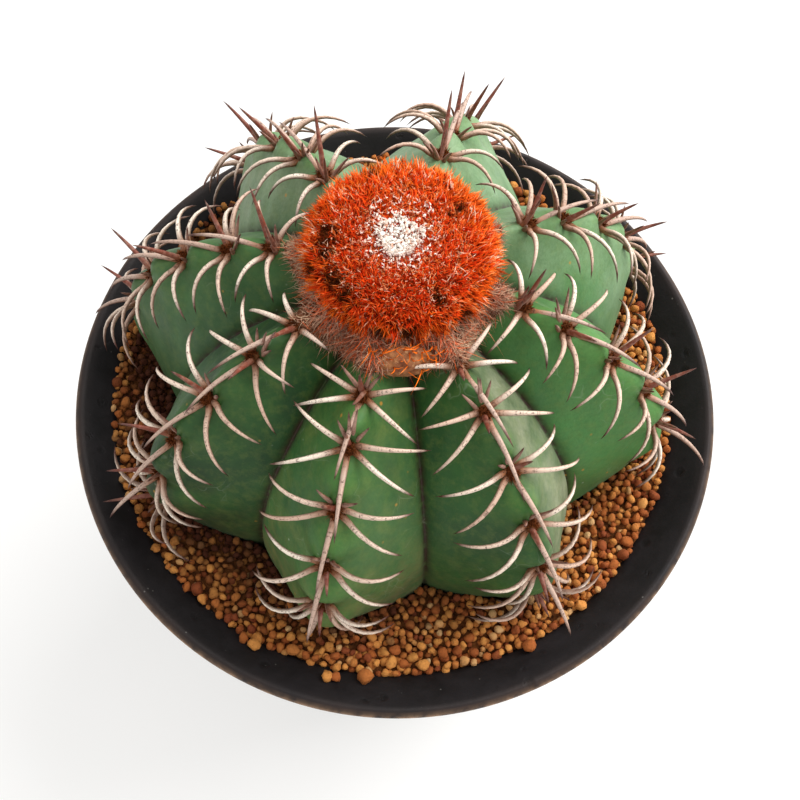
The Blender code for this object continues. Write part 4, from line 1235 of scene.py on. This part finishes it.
def red_fibres():
    """Wool whose fibres go by tone from dark red over scarlet and orange to straw, with painted shade at
    their roots.
    """
    material, tree, shader, place = new_finish("red_wool", Roughness=1.0, Specular_IOR_Level=0.0)
    patches = clouding(tree, place, 0.30, 0.70, 420.0, 2.0)
    tone = times(tree, attribute(tree, "tone"), times(tree, patches, 0.34), "ADD")
    tone = times(tree, tone, 0.17, "SUBTRACT")
    colour = blend(tree, between(tree, tone, 0.08, 0.32), WOOL_DEEP, WOOL_SCARLET)
    colour = blend(tree, between(tree, tone, 0.42, 0.58), colour, WOOL_ORANGE)
    colour = blend(tree, between(tree, tone, 0.68, 0.80), colour, WOOL_STRAW)
    # Painted shade at the roots, down among the fibres.
    colour = blend(tree, between(tree, attribute(tree, "reach"), 0.5, 0.0), colour, WOOL_DEEP)
    streaks = clouding(tree, place, 0.45, 0.65, 1500.0, 2.0)
    colour = blend(tree, streaks, colour, WOOL_ORANGE, 0.25)
    tree.links.new(colour, shader.inputs["Base Color"])
    return material


points, faces, values = curly_wool()
wool = new_piece("red_wool", points, faces, red_fibres(), values)

# White tuft
# Fresh white wool at the cap's centre, where it grows, matted in small knots with a few brown fibres.
# Further out only small pinkish flocks of it are caught between the red bristles.
TUFT_KNOTS = 185
KNOT_RISE = (0.0004, 0.0010)
FLOCK_RISE = (0.0007, 0.0015)
TUFT_LENGTH = (0.00025, 0.00048)
TUFT_WIDTH = (0.00013, 0.00022)
BROWN_SHARE = 0.12
BROWN_TONE = 1.6
KNOT_SIZES = (0.00020, 0.00034)
KNOT_HAIRS = 7
KNOT_TURN_ERROR = 0.06
KNOT_POWER = 1.15
PINK_SHARE = 0.12
PINK_TONES = (0.3, 0.8)
TUFT_SHARE = 0.096
TUFT_TO_BACK = 0.0008
TUFT_FLOCKS = 240
TUFT_REACH = (0.07, 0.24)
FLOCK_SIZES = (0.00009, 0.00018)
STRAY_FLOCKS = 300
STRAY_REACH = (0.16, 0.62)
FLOCK_HAIRS = 3
FLOCK_POWERS = (1.5, 1.3)
FLOCK_TONES = (0.0, 0.35)
STRAY_TONES = (0.6, 1.0)
BALL_STRETCH = (0.6, 1.2)
TUFT_SCATTER = 0.00012
TUFT_ERROR = 0.7
TUFT_UPRIGHT = 0.35
TUFT_SAG = 0.5
TUFT_WHITE = shade(255, 248, 238)
TUFT_PINK = shade(232, 152, 104)
TUFT_BROWN = shade(140, 60, 34)


def woolly_tuft():
    """Small balls with hairs: knots in the middle, flocks round it, and hairs alone further out.

    A knot's share goes by a power of its number, a golden angle on from the last, and is made uneven by
    sines of its azimuth. The shares of flocks and strays are powers of an even draw.
    """
    draw = np.random.default_rng(23)
    flocks = TUFT_FLOCKS + STRAY_FLOCKS
    balls = TUFT_KNOTS + TUFT_FLOCKS
    number = np.arange(TUFT_KNOTS)
    knot_azimuth = number * GOLDEN_ANGLE + draw.normal(0.0, KNOT_TURN_ERROR, TUFT_KNOTS)
    uneven = 1.0 + 0.16 * np.sin(3.0 * knot_azimuth + 0.6) + 0.12 * np.sin(5.0 * knot_azimuth)
    knot_share = TUFT_SHARE * np.sqrt((number + 0.5) / TUFT_KNOTS) ** KNOT_POWER * uneven
    pink = draw.random(TUFT_KNOTS) < PINK_SHARE
    knot_tone = np.where(pink, draw.uniform(*PINK_TONES, TUFT_KNOTS), 0.0)
    near, far = (low + (high - low) * draw.random(count) ** power for (low, high), count, power
                 in zip((TUFT_REACH, STRAY_REACH), (TUFT_FLOCKS, STRAY_FLOCKS), FLOCK_POWERS))
    azimuth = np.append(knot_azimuth, draw.uniform(0.0, 2.0 * np.pi, flocks))
    places = cap_dome(azimuth, np.concatenate((knot_share, near, far)))
    places[:balls, 1] += TUFT_TO_BACK
    flock_rise = draw.uniform(*FLOCK_RISE, flocks)
    places[:, 2] += np.append(draw.uniform(*KNOT_RISE, TUFT_KNOTS), flock_rise)
    flock_tone = draw.uniform(*FLOCK_TONES, TUFT_FLOCKS)
    tone = np.concatenate((knot_tone, flock_tone, draw.uniform(*STRAY_TONES, STRAY_FLOCKS)))
    sizes = np.append(draw.uniform(*KNOT_SIZES, TUFT_KNOTS), draw.uniform(*FLOCK_SIZES, flocks))
    shapes = np.eye(3) * (sizes[:, None] * draw.uniform(*BALL_STRETCH, (len(sizes), 3)))[:, None, :]
    repeats = np.append(np.full(TUFT_KNOTS, KNOT_HAIRS), np.full(flocks, FLOCK_HAIRS))
    roots = np.repeat(places, repeats, axis=0)
    count = len(roots)
    roots = roots + draw.normal(0.0, TUFT_SCATTER, (count, 3))
    heads = unit(draw.normal(0.0, TUFT_ERROR, (count, 3)) + np.array((0.0, 0.0, TUFT_UPRIGHT)))
    lengths = draw.uniform(*TUFT_LENGTH, count)
    sags = draw.normal(0.0, TUFT_SAG, (count, 3))
    hairs = fine_hairs(roots, heads, sags, lengths, draw.uniform(*TUFT_WIDTH, count), SHORT_STEPS)
    hair_tone = np.where(draw.random(count) < BROWN_SHARE, BROWN_TONE, np.repeat(tone, repeats))
    points, faces = joined(many_balls(places[:balls], shapes[:balls]), hairs)
    ball_tone = np.repeat(tone[:balls], len(BALL_POINTS))
    hair_tone = over_hairs(SHORT_STEPS, tone=hair_tone)["tone"]
    return points, faces, {"tone": np.append(ball_tone, hair_tone)}


def white_wool():
    """White wool, pinker away from the centre, with brown fibres where the tone is past 1."""
    material, tree, shader, place = new_finish("white_wool", Roughness=0.9, Specular_IOR_Level=0.05)
    tone = attribute(tree, "tone")
    colour = blend(tree, tone, TUFT_WHITE, TUFT_PINK)
    fibres = clouding(tree, place, 0.55, 0.75, 2400.0, 3.0)
    colour = blend(tree, fibres, colour, TUFT_PINK, 0.20)
    colour = blend(tree, between(tree, tone, 1.2, 1.5), colour, TUFT_BROWN)
    tree.links.new(colour, shader.inputs["Base Color"])
    return material


points, faces, values = woolly_tuft()
tuft = new_piece("white_tuft", points, faces, white_wool(), values)

# Collar wool
# Old wool and withered bristles, pinkish grey and brown. They grew in the cap, were pushed out as it grew,
# and hang matted from its edge over the tops of the ribs.
COLLAR_HAIRS = 10400
COLLAR_CLUMPS = 230
COLLAR_LENGTH = (0.0012, 0.0030)
COLLAR_WIDTH = (0.00012, 0.00022)
COLLAR_EDGE = 1.12
COLLAR_SPREADS = (0.07, 0.15)
COLLAR_STAND = (0.20, 0.85)
BACK_STAND = 0.4
COLLAR_HANG = 0.75
HANG_LOSS = 0.45
COLLAR_ERRORS = (0.32, 0.42)
COLLAR_LENGTH_LOSS = 0.35
COLLAR_SAG = 0.50
COLLAR_DROOP = 0.10
COLLAR_CLUMP_TONE = 0.4
LEFT_TONE = 0.25
LEFT_WIDTH = 0.5
CREAM_TONE = 0.35
CREAM_WIDTH = 0.28
FIERY_SHARES = (0.10, 0.34)
FIERY_LOSS = 0.85
FIERY_WARMTH = (0.4, 1.0)
FIERY_LONGER = 0.3
COLLAR_TAN = shade(212, 166, 138)
COLLAR_BROWN = shade(112, 72, 54)
COLLAR_CREAM = shade(234, 200, 164)
CREAM_AZIMUTH = math.radians(-38.0)
COLLAR_ORANGE = shade(236, 96, 34)


def hanging_wool():
    """Clumped hairs from the cap's edge to the skin, their roots on straight lines between the two.

    A heading is the sum of the radial way, the way down and normal errors of the hair's own and of its
    clump's. The front, from 0 at the back to 1, goes by the sine of the azimuth: there the hairs are longer,
    stand out more, and more of them are fiery. The tone has bell curves of the azimuth added.
    """
    draw = np.random.default_rng(41)
    hairs, clumps = COLLAR_HAIRS, COLLAR_CLUMPS
    clump = draw.integers(0, clumps, hairs)
    turn = draw.uniform(0.0, RIB_COUNT, clumps)[clump] + draw.normal(0.0, COLLAR_SPREADS[0], hairs)
    way = draw.random(clumps)[clump] + draw.normal(0.0, COLLAR_SPREADS[1], hairs)
    way = np.clip(way, 0.0, 1.0)[:, None]
    low_edge = stem_skin(turn, COLLAR_SHARES[1], COLLAR_LIFTS[1], detail=False)[0]
    edge = from_axis(low_edge)
    azimuth = np.arctan2(edge[:, 1], edge[:, 0])
    high_edge = cap_dome(azimuth, COLLAR_EDGE + EDGE_TO_BACK * np.cos(azimuth - CAP_BACK))
    roots = high_edge * (1.0 - way) + low_edge * way
    radial = np.stack((np.cos(azimuth), np.sin(azimuth), 0.0 * azimuth), axis=1)
    front = (0.5 - 0.5 * np.sin(azimuth))[:, None]
    stand = draw.uniform(*COLLAR_STAND, hairs)[:, None]
    heads = radial * stand * (BACK_STAND + (1.0 - BACK_STAND) * front)
    heads = heads + unit(low_edge - high_edge) * COLLAR_HANG * (1.0 - HANG_LOSS * way)
    heads = heads + draw.normal(0.0, COLLAR_ERRORS[0], (clumps, 3))[clump]
    heads = unit(heads + draw.normal(0.0, COLLAR_ERRORS[1], (hairs, 3)))
    way, front = way[:, 0], front[:, 0]
    lengths = draw.uniform(*COLLAR_LENGTH, hairs) * (1.0 - COLLAR_LENGTH_LOSS * way)
    lengths = lengths * (0.5 + 0.6 * np.clip(0.2 + front, 0.0, 1.0))
    sags = draw.normal(0.0, COLLAR_SAG, (hairs, 3)) + np.array((0.0, 0.0, -COLLAR_DROOP))
    widths = draw.uniform(*COLLAR_WIDTH, hairs)
    tone = shared_tone(draw, clump, clumps, COLLAR_CLUMP_TONE)
    tone = tone + CREAM_TONE * np.exp(-((azimuth - CREAM_AZIMUTH) / CREAM_WIDTH) ** 2)
    tone = tone + LEFT_TONE * np.exp(-((np.abs(azimuth) - np.pi) / LEFT_WIDTH) ** 2)
    fiery_share = (FIERY_SHARES[0] + FIERY_SHARES[1] * front) * (1.0 - FIERY_LOSS * way)
    fiery = draw.random(hairs) < fiery_share
    warmth = fiery * draw.uniform(*FIERY_WARMTH, hairs)
    points, faces = fine_hairs(roots, heads, sags, lengths * (1.0 + FIERY_LONGER * fiery), widths)
    return points, faces, over_hairs(LONG_STEPS, tone=tone, warmth=warmth)


def withered_wool():
    """Brown and tan wool with cream and orange hairs among it, and patches of painted shade between the
    matted hairs.
    """
    material, tree, shader, place = new_finish("withered_wool", Roughness=0.9, Specular_IOR_Level=0.04)
    tone = attribute(tree, "tone")
    colour = blend(tree, between(tree, tone, 0.15, 0.55), COLLAR_BROWN, COLLAR_TAN)
    colour = blend(tree, between(tree, tone, 0.70, 0.85), colour, COLLAR_CREAM)
    colour = blend(tree, attribute(tree, "warmth"), colour, COLLAR_ORANGE)
    # Painted shade in patches, between the matted hairs.
    patches = clouding(tree, place, 0.52, 0.68, 230.0, 3.0)
    colour = blend(tree, patches, colour, WOOL_PAINTED_SHADE, 0.6)
    tree.links.new(colour, shader.inputs["Base Color"])
    return material


points, faces, values = hanging_wool()
collar = new_piece("collar_wool", points, faces, withered_wool(), values)

# Soil bed
# Fine brown clay grit, packed in the pot round the stem's base. Only its top shows, in the chinks between
# the coarser grains.
GAP = 0.00035
WALL_GAP = 0.00045
BED_SINK = 0.0009
BED_COLUMNS = 368
BED_RIPPLE = 0.00035
HOLE_SHARES = (1.0, 0.9, 0.8)
SURFACE_SHARE = 0.752
WALL_LEVELS = (LIP_INNER[1] - 0.0012, NECK_Z, 0.05, 0.03, FLOOR_Z[1] + GAP)
BED_DARK = shade(58, 32, 18)
BED_BROWN = shade(120, 72, 36)


def soil_wall_radius(height):
    """Radius at which the soil stops short of the pot's inner wall."""
    heights = (FLOOR_Z[1], NECK_Z, LIP_INNER[1], RIM_Z + RIM_ROUND)
    radii = (BASE_RADII[1], NECK_RADII[1], LIP_INNER[0], RIM_RADIUS - RIM_ROUND)
    return np.interp(height, heights, radii) - WALL_GAP


def soil_edge(azimuth):
    """(radius, height) at which the soil's surface meets the lip, found by repeated substitution."""
    radius = np.full(np.shape(azimuth), LIP_INNER[0])
    for _ in range(12):
        height = soil_level(radius * np.cos(azimuth), radius * np.sin(azimuth))
        radius = soil_wall_radius(height)
    return radius, height


def soil_bed():
    """Rings from under the stem, up its hole, over the surface to the lip and down the pot's wall.

    The surface goes straight from the hole to the lip at the soil's level, with ripples that are a product
    of sines of the place.
    """
    turn = np.arange(BED_COLUMNS) * RIB_COUNT / BED_COLUMNS
    hole = [stem_skin(turn, share, GAP, detail=False)[0] for share in HOLE_SHARES]
    hole[0][:, 2] -= GAP
    inner = stem_skin(turn, SURFACE_SHARE, GAP, detail=False)[0]
    azimuth = np.arctan2(inner[:, 1], inner[:, 0])
    round_it = np.cos(azimuth), np.sin(azimuth)
    radius, height = soil_edge(azimuth)
    outer = np.stack((radius * round_it[0], radius * round_it[1], height), axis=1)
    way = np.linspace(0.0, 1.0, 26)[:, None, None]
    top = inner * (1.0 - way) + outer * way
    ripple = np.sin(2600.0 * top[..., 0]) * np.sin(2400.0 * top[..., 1] + 1.0)
    top[..., 2] = soil_level(top[..., 0], top[..., 1]) - BED_SINK + BED_RIPPLE * ripple
    level = np.array(WALL_LEVELS)[:, None] + 0.0 * azimuth
    reach = soil_wall_radius(level)
    walls = np.stack((reach * round_it[0], reach * round_it[1], level), axis=-1)
    rings = np.concatenate((hole, top, walls))
    return capped_rings(rings, axis_at(BASE_HEIGHT - GAP), np.array((0.0, 0.0, FLOOR_Z[1] + GAP)))


def clay_grit():
    """Dark brown grit with lighter crumbs and a rough surface."""
    material, tree, shader, place = new_finish("clay_grit", Roughness=0.95, Specular_IOR_Level=0.1)
    crumbs = clouding(tree, place, 0.3, 0.7, 800.0, 5.0)
    colour = blend(tree, crumbs, BED_DARK, BED_BROWN)
    tree.links.new(colour, shader.inputs["Base Color"])
    bump(tree, shader, noise(tree, place, 1100.0, 4.0), 0.0008)
    return material


points, faces = soil_bed()
bed = new_piece("soil_bed", points, faces, clay_grit())
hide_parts("soil")

# Soil grains
# Rounded grains of baked orange-brown clay, 1 to 3 mm across, heaped up against the lip and the stem.
# They darken near the stem and at the left, partly from dampness and partly painted shade, and are pale and
# larger by the lip.
GRAIN_TRIES = 40000
GRAIN_SIZES = (0.00052, 0.00095)
UPPER_SIZES = (0.00058, 0.00115)
LAYER_PACKINGS = (0.88, 0.96)
LAYER_LIFTS = (-0.0006, 0.0003)
INNER_REACH = 0.034
GRAIN_JITTER = 0.35
GRAIN_STRETCH = (0.84, 1.28)
STRAY_LIFT = 0.0010
SIZE_POWER = 1.5
SIZE_BY_OPEN = (0.4, 0.8)
GRAIN_ROOM = (0.4, 0.2)
DENT_WAVES = 2.1
DENT_DEPTH = 0.06
# The darkening of grains near the stem and to the left is partly dampness and partly painted shade.
DAMP_SHADE_AT_STEM = 0.40
DAMP_SHADE_TO_LEFT = 1.26
DAMP_SHADE_LOSS = 1.25
DAMP_SHADE_ERROR = 0.22
CUTS = 7
CUT_DEPTHS = (0.62, 0.95)
DAMP_SHADE_TURN = math.radians(25.0)
GRAIN_DARK = shade(74, 34, 16)
GRAIN_RED = shade(138, 68, 38)
GRAIN_RUST = shade(176, 98, 46)
GRAIN_ORANGE = shade(222, 150, 76)
GRAIN_PALE = shade(220, 176, 122)
STRAY_GRAINS = ((-117.0, 0.0531, 0.0010), (-114.5, 0.0534, 0.0011), (-99.4, 0.0540, 0.0011),
                (-97.8, 0.0538, 0.0010), (-92.5, 0.0529, 0.0014), (-60.0, 0.0526, 0.0011))


def scattered_grains(draw, tries, sizes, packing, lift):
    """Places of grains, thrown at random round the stem and kept where they leave each other room.

    Azimuths are even, and so are squares of the reach between the innermost reach and the lip. The hole's
    radius is looked up in the stem's outline at the soil. The size grows with the square of the open share,
    from 0 at the hole to 1 at the lip.
    """
    azimuth = draw.uniform(-np.pi, np.pi, tries)
    edge, _ = soil_edge(azimuth)
    reach = np.sqrt(draw.uniform(0.0, 1.0, tries) * (edge ** 2 - INNER_REACH ** 2) + INNER_REACH ** 2)
    x, y = reach * np.cos(azimuth), reach * np.sin(azimuth)
    turn = np.arange(2 * BED_COLUMNS) * RIB_COUNT / (2 * BED_COLUMNS)
    outline = stem_skin(turn, SURFACE_SHARE, 0.0, detail=False)[0]
    about = np.arctan2(outline[:, 1], outline[:, 0])
    order = np.argsort(about)
    radius = np.hypot(outline[:, 0], outline[:, 1])
    hole = np.interp(azimuth, about[order], radius[order], period=2.0 * np.pi)
    open_share = np.clip((reach - hole) / (edge - hole), 0.0, 1.0)
    least, more = SIZE_BY_OPEN
    chance = draw.random(tries) ** SIZE_POWER
    size = sizes[0] + (sizes[1] - sizes[0]) * chance * (least + more * open_share ** 2)
    fits = (reach > hole + GRAIN_ROOM[0] * size) & (reach < edge - GRAIN_ROOM[1] * size)
    thrown = np.stack((x, y, size, open_share), axis=1)[fits]
    kept = np.zeros((0, 4))
    for grain in thrown:
        gap = np.hypot(kept[:, 0] - grain[0], kept[:, 1] - grain[1])
        if np.all(gap > packing * (kept[:, 2] + grain[2])):
            kept = np.vstack((kept, grain))
    x, y, size, open_share = kept.T
    z = soil_level(x, y) + lift + size * draw.uniform(-GRAIN_JITTER, GRAIN_JITTER, len(x))
    return np.stack((x, y, z), axis=1), size, open_share


def tumbled_shapes(draw, sizes):
    """Random turns of each grain times three unequal radii."""
    turns, _ = np.linalg.qr(draw.normal(0.0, 1.0, (len(sizes), 3, 3)))
    radii = sizes[:, None] * draw.uniform(*GRAIN_STRETCH, (len(sizes), 3))
    shapes = turns * radii[:, None, :]
    flip = np.sign(np.linalg.det(shapes))
    return shapes * flip[:, None, None]


def dented(draw, points, places, sizes):
    """Pushes each point in or out by waves and cuts it back to the nearest of a few random planes."""
    count = len(sizes)
    waves = draw.normal(0.0, DENT_WAVES, (count, 3, 3))
    phase = np.einsum("nij,kj->nki", waves, BALL_POINTS) + draw.uniform(0.0, 6.0, (count, 1, 3))
    push = 1.0 + DENT_DEPTH * np.sin(phase).sum(axis=2)
    normals = unit(draw.normal(0.0, 1.0, (count, CUTS, 3)))
    facing = np.einsum("nij,kj->nki", normals, BALL_POINTS)
    depth = draw.uniform(*CUT_DEPTHS, (count, 1, CUTS)) / np.maximum(facing, 1e-3)
    push = push * np.minimum(depth.min(axis=2), 1.0)
    local = points.reshape(count, -1, 3) - places[:, None]
    return (places[:, None] + local * push[..., None]).reshape(-1, 3)


def strewn_grains():
    """Two layers of grains and a few strays on the lip's slope, with values for every point.

    The darkening, partly dampness and partly painted shade, grows to the left by half a cosine of the
    azimuth and falls with the open share.
    """
    draw = np.random.default_rng(61)
    lower = scattered_grains(draw, GRAIN_TRIES, GRAIN_SIZES, LAYER_PACKINGS[0], LAYER_LIFTS[0])
    upper = scattered_grains(draw, GRAIN_TRIES // 2, UPPER_SIZES, LAYER_PACKINGS[1], LAYER_LIFTS[1])
    azimuth, reach, stray_size = np.array(STRAY_GRAINS).T
    azimuth = np.radians(azimuth)
    slope = (RIM_Z + RIM_ROUND - LIP_INNER[1]) / (RIM_RADIUS - RIM_ROUND - LIP_INNER[0])
    z = LIP_INNER[1] + (reach - LIP_INNER[0]) * slope + STRAY_LIFT
    stray = np.stack((reach * np.cos(azimuth), reach * np.sin(azimuth), z), axis=1)
    places = np.concatenate((lower[0], upper[0], stray))
    sizes = np.concatenate((lower[1], upper[1], stray_size))
    outer = np.concatenate((lower[2], upper[2], np.ones(len(stray))))
    points, faces = many_balls(places, tumbled_shapes(draw, sizes))
    points = dented(draw, points, places, sizes)
    # Darker near the stem and to the left: partly dampness, partly painted shade.
    to_left = 0.5 - 0.5 * np.cos(np.arctan2(places[:, 1], places[:, 0]) + DAMP_SHADE_TURN)
    damp_and_shade = DAMP_SHADE_AT_STEM + DAMP_SHADE_TO_LEFT * to_left - DAMP_SHADE_LOSS * outer
    damp_and_shade = np.clip(damp_and_shade + draw.normal(0.0, DAMP_SHADE_ERROR, len(sizes)), 0.0, 1.0)
    own = {"tone": draw.random(len(sizes)), "damp_and_shade": damp_and_shade}
    return points, (faces,), {key: np.repeat(value, len(BALL_POINTS)) for key, value in own.items()}


def baked_clay():
    """Porous clay: each grain has its own tone and darkening, partly dampness and partly painted shade, with
    fine dark pores.
    """
    material, tree, shader, place = new_finish("baked_clay", Roughness=0.88, Specular_IOR_Level=0.25)
    tone = attribute(tree, "tone")
    colour = blend(tree, between(tree, tone, 0.0, 0.22), GRAIN_RED, GRAIN_RUST)
    colour = blend(tree, between(tree, tone, 0.25, 0.72), colour, GRAIN_ORANGE)
    colour = blend(tree, between(tree, tone, 0.88, 1.0), colour, GRAIN_PALE)
    # Dampness and painted shade darken the grains near the stem and to the left.
    colour = blend(tree, attribute(tree, "damp_and_shade"), colour, GRAIN_DARK)
    pores = clouding(tree, place, 0.56, 0.70, 1900.0, 4.0, 0.7)
    colour = blend(tree, pores, colour, GRAIN_DARK, 0.5)
    tree.links.new(colour, shader.inputs["Base Color"])
    bump(tree, shader, noise(tree, place, 1900.0, 5.0, 0.7), 0.0004)
    return material


points, faces, values = strewn_grains()
grains = new_piece("soil_grains", points, faces, baked_clay(), values)

# Dried fruit
# A withered fruit, tan and rust, with a thin papery skin that has shrivelled into folds. It ripened in the
# cap and has sunk into the collar wool at the front.
FRUIT_AZIMUTH = math.radians(-84.0)
FRUIT_RADIAL = np.array((math.cos(FRUIT_AZIMUTH), math.sin(FRUIT_AZIMUTH), 0.0))
FRUIT_SIDEWAYS = np.array((-FRUIT_RADIAL[1], FRUIT_RADIAL[0], 0.0))
FRUIT_UPWARD = np.array((-0.6 * FRUIT_RADIAL[0], -0.6 * FRUIT_RADIAL[1], 0.8))
FRUIT_OUTWARD = np.cross(FRUIT_SIDEWAYS, FRUIT_UPWARD)
FRUIT_CENTRE = about_axis(0.0160, FRUIT_AZIMUTH, 0.0424)
FRUIT_RADII = (0.0015, 0.0050, 0.0026)
FRUIT_SHAPE = np.stack((FRUIT_OUTWARD, FRUIT_SIDEWAYS, FRUIT_UPWARD), axis=1) * FRUIT_RADII
FRUIT_ROWS = 30
FRUIT_COLUMNS = 72
FRUIT_TAN = shade(190, 128, 76)
FRUIT_RUST = shade(120, 62, 32)
FRUIT_PALE = shade(218, 170, 116)


def shrivelled_fruit():
    """A ball whose radius is one less folds, which are shares of sines of the way round and down."""
    down = np.linspace(0.0, np.pi, FRUIT_ROWS)[1:-1, None]
    round_it = np.linspace(0.0, 2.0 * np.pi, FRUIT_COLUMNS, endpoint=False)[None, :]
    folds = 1.0 - 0.10 * np.sin(5.0 * round_it + 3.0 * np.cos(2.0 * down))
    folds = folds - 0.06 * np.sin(9.0 * round_it + 5.0 * down) - 0.04 * np.sin(16.0 * round_it - 7.0 * down)
    out = np.sin(down) * folds
    ball = np.stack((out * np.cos(round_it), out * np.sin(round_it), np.cos(down) + 0.0 * round_it), axis=-1)
    rings = ball @ FRUIT_SHAPE.T + FRUIT_CENTRE
    return capped_rings(rings, FRUIT_CENTRE + FRUIT_SHAPE[:, 2], FRUIT_CENTRE - FRUIT_SHAPE[:, 2])


def papery_fruit():
    """Tan to rust paper with pale veins."""
    material, tree, shader, place = new_finish("papery_fruit", Roughness=0.7)
    cloud = clouding(tree, place, 0.3, 0.7, 520.0, 4.0)
    colour = blend(tree, cloud, FRUIT_RUST, FRUIT_TAN)
    veins = clouding(tree, place, 0.56, 0.70, 1500.0, 3.0)
    colour = blend(tree, veins, colour, FRUIT_PALE, 0.6)
    tree.links.new(colour, shader.inputs["Base Color"])
    bump(tree, shader, noise(tree, place, 900.0, 4.0), 0.0005)
    return material


points, faces = shrivelled_fruit()
fruit = new_piece("dried_fruit", points, faces, papery_fruit())

# Orange curls
# Loose bristles of the cap, stiff and orange as the others, that have curled down over the withered fruit
# and are caught in its folds.
CURL_COUNT = 64
CURL_LENGTH = (0.0016, 0.0032)
CURL_WIDTH = (0.00026, 0.00038)
CURL_ACROSS = (-0.0056, 0.0056)
CURL_UP = (-0.0006, 0.0032)
CURL_LIFT = 0.0011
CURL_ERROR = 0.55
CURL_SAG_ERROR = 0.70
CURL_WARMTH = (0.8, 1.0)
CURL_TONE = (0.45, 0.8)


def curled_bristles():
    """Hairs that start out from the fruit and sag back to it, with large normal errors."""
    draw = np.random.default_rng(71)
    across = draw.uniform(*CURL_ACROSS, CURL_COUNT)[:, None]
    up = draw.uniform(*CURL_UP, CURL_COUNT)[:, None]
    roots = FRUIT_CENTRE + FRUIT_SIDEWAYS * across + FRUIT_UPWARD * up + FRUIT_OUTWARD * CURL_LIFT
    heads = FRUIT_OUTWARD * 0.5 - FRUIT_UPWARD * 0.45 + draw.normal(0.0, CURL_ERROR, (CURL_COUNT, 3))
    errors = draw.normal(0.0, CURL_SAG_ERROR, (CURL_COUNT, 3))
    sags = errors - FRUIT_OUTWARD * 0.60 + FRUIT_UPWARD * 0.2
    lengths = draw.uniform(*CURL_LENGTH, CURL_COUNT)
    points, faces = fine_hairs(roots, unit(heads), sags, lengths, draw.uniform(*CURL_WIDTH, CURL_COUNT))
    warmth = draw.uniform(*CURL_WARMTH, CURL_COUNT)
    tone = draw.uniform(*CURL_TONE, CURL_COUNT)
    values = over_hairs(LONG_STEPS, warmth=warmth, tone=tone, bare=np.zeros(CURL_COUNT))
    return points, faces, {"reach": along_needles(CURL_COUNT, LONG_STEPS, HAIR_SIDES), **values}


points, faces, values = curled_bristles()
curls = new_piece("orange_curls", points, faces, bristle_finish, values)

# Floor, light and camera
# A plain pale floor without an edge in view, a wide soft light from the back right, and the camera above
# the front, looking down steeply as in the photograph.
FLOOR_HALF = 3.0
LIGHT_AIM = (0.0, 0.0, 0.09)
FLOOR_WHITE = shade(246, 245, 243)
FLOOR_GREY = shade(150, 150, 149)
KEY_PLACE = (0.75, 0.60, 0.95)
KEY_SIZE = 1.2
KEY_POWER = 26.0
SKY_LIGHT = 0.85
FLOOR_GLOW = 0.64
CAMERA_LENS = 54.74
CAMERA_PLACE = (0.000726, -0.089782, 0.296362)
CAMERA_ELEVATION = math.radians(67.307)
CAMERA_ROLL = math.radians(3.5619)


def soft_light(name, place, size, power):
    """A square light that faces the pot's middle."""
    data = bpy.data.lights.new(name, "AREA")
    data.shape = "SQUARE"
    data.size = size
    data.energy = power
    lamp = bpy.data.objects.new(name, data)
    lamp.location = place
    aim = Vector(LIGHT_AIM) - lamp.location
    lamp.rotation_euler = aim.to_track_quat("-Z", "Y").to_euler()
    bpy.context.scene.collection.objects.link(lamp)


def pale_floor():
    """A light table: a matte translucent sheet with a very faint mottle, lit from below."""
    material, tree, shader, place = new_finish("pale_floor", Roughness=0.9)
    cloud = noise(tree, place, 6.0, 3.0)
    colour = blend(tree, cloud, FLOOR_GREY, FLOOR_WHITE, 0.3)
    tree.links.new(colour, shader.inputs["Base Color"])
    shader.inputs["Emission Color"].default_value = FLOOR_WHITE
    shader.inputs["Emission Strength"].default_value = FLOOR_GLOW
    return material


floor_mesh = bpy.data.meshes.new("floor")
corners = [(x * FLOOR_HALF, y * FLOOR_HALF, 0.0) for x, y in ((-1, -1), (1, -1), (1, 1), (-1, 1))]
floor_mesh.from_pydata(corners, [], [(0, 1, 2, 3)])
floor_mesh.materials.append(pale_floor())
floor = bpy.data.objects.new("floor", floor_mesh)
bpy.context.scene.collection.objects.link(floor)

soft_light("key_light", KEY_PLACE, KEY_SIZE, KEY_POWER)
world = bpy.data.worlds.new("studio")
world.use_nodes = True
sky = world.node_tree.nodes["Background"]
sky.inputs["Color"].default_value = (1.0, 1.0, 1.0, 1.0)
sky.inputs["Strength"].default_value = SKY_LIGHT
bpy.context.scene.world = world
bpy.context.scene.view_settings.view_transform = "Standard"

right = np.array((1.0, 0.0, 0.0))
back = np.array((0.0, -math.cos(CAMERA_ELEVATION), math.sin(CAMERA_ELEVATION)))
up = np.cross(back, right)
image_right = right * math.cos(CAMERA_ROLL) + up * math.sin(CAMERA_ROLL)
image_up = up * math.cos(CAMERA_ROLL) - right * math.sin(CAMERA_ROLL)
camera_data = bpy.data.cameras.new("camera")
camera_data.lens = CAMERA_LENS
camera_data.sensor_width = 36.0
camera_data.clip_start = 0.01
camera = bpy.data.objects.new("camera", camera_data)
columns = np.stack((image_right, image_up, back, CAMERA_PLACE), axis=1)
camera.matrix_world = Matrix([*columns.tolist(), (0.0, 0.0, 0.0, 1.0)])
bpy.context.scene.collection.objects.link(camera)
bpy.context.scene.camera = camera
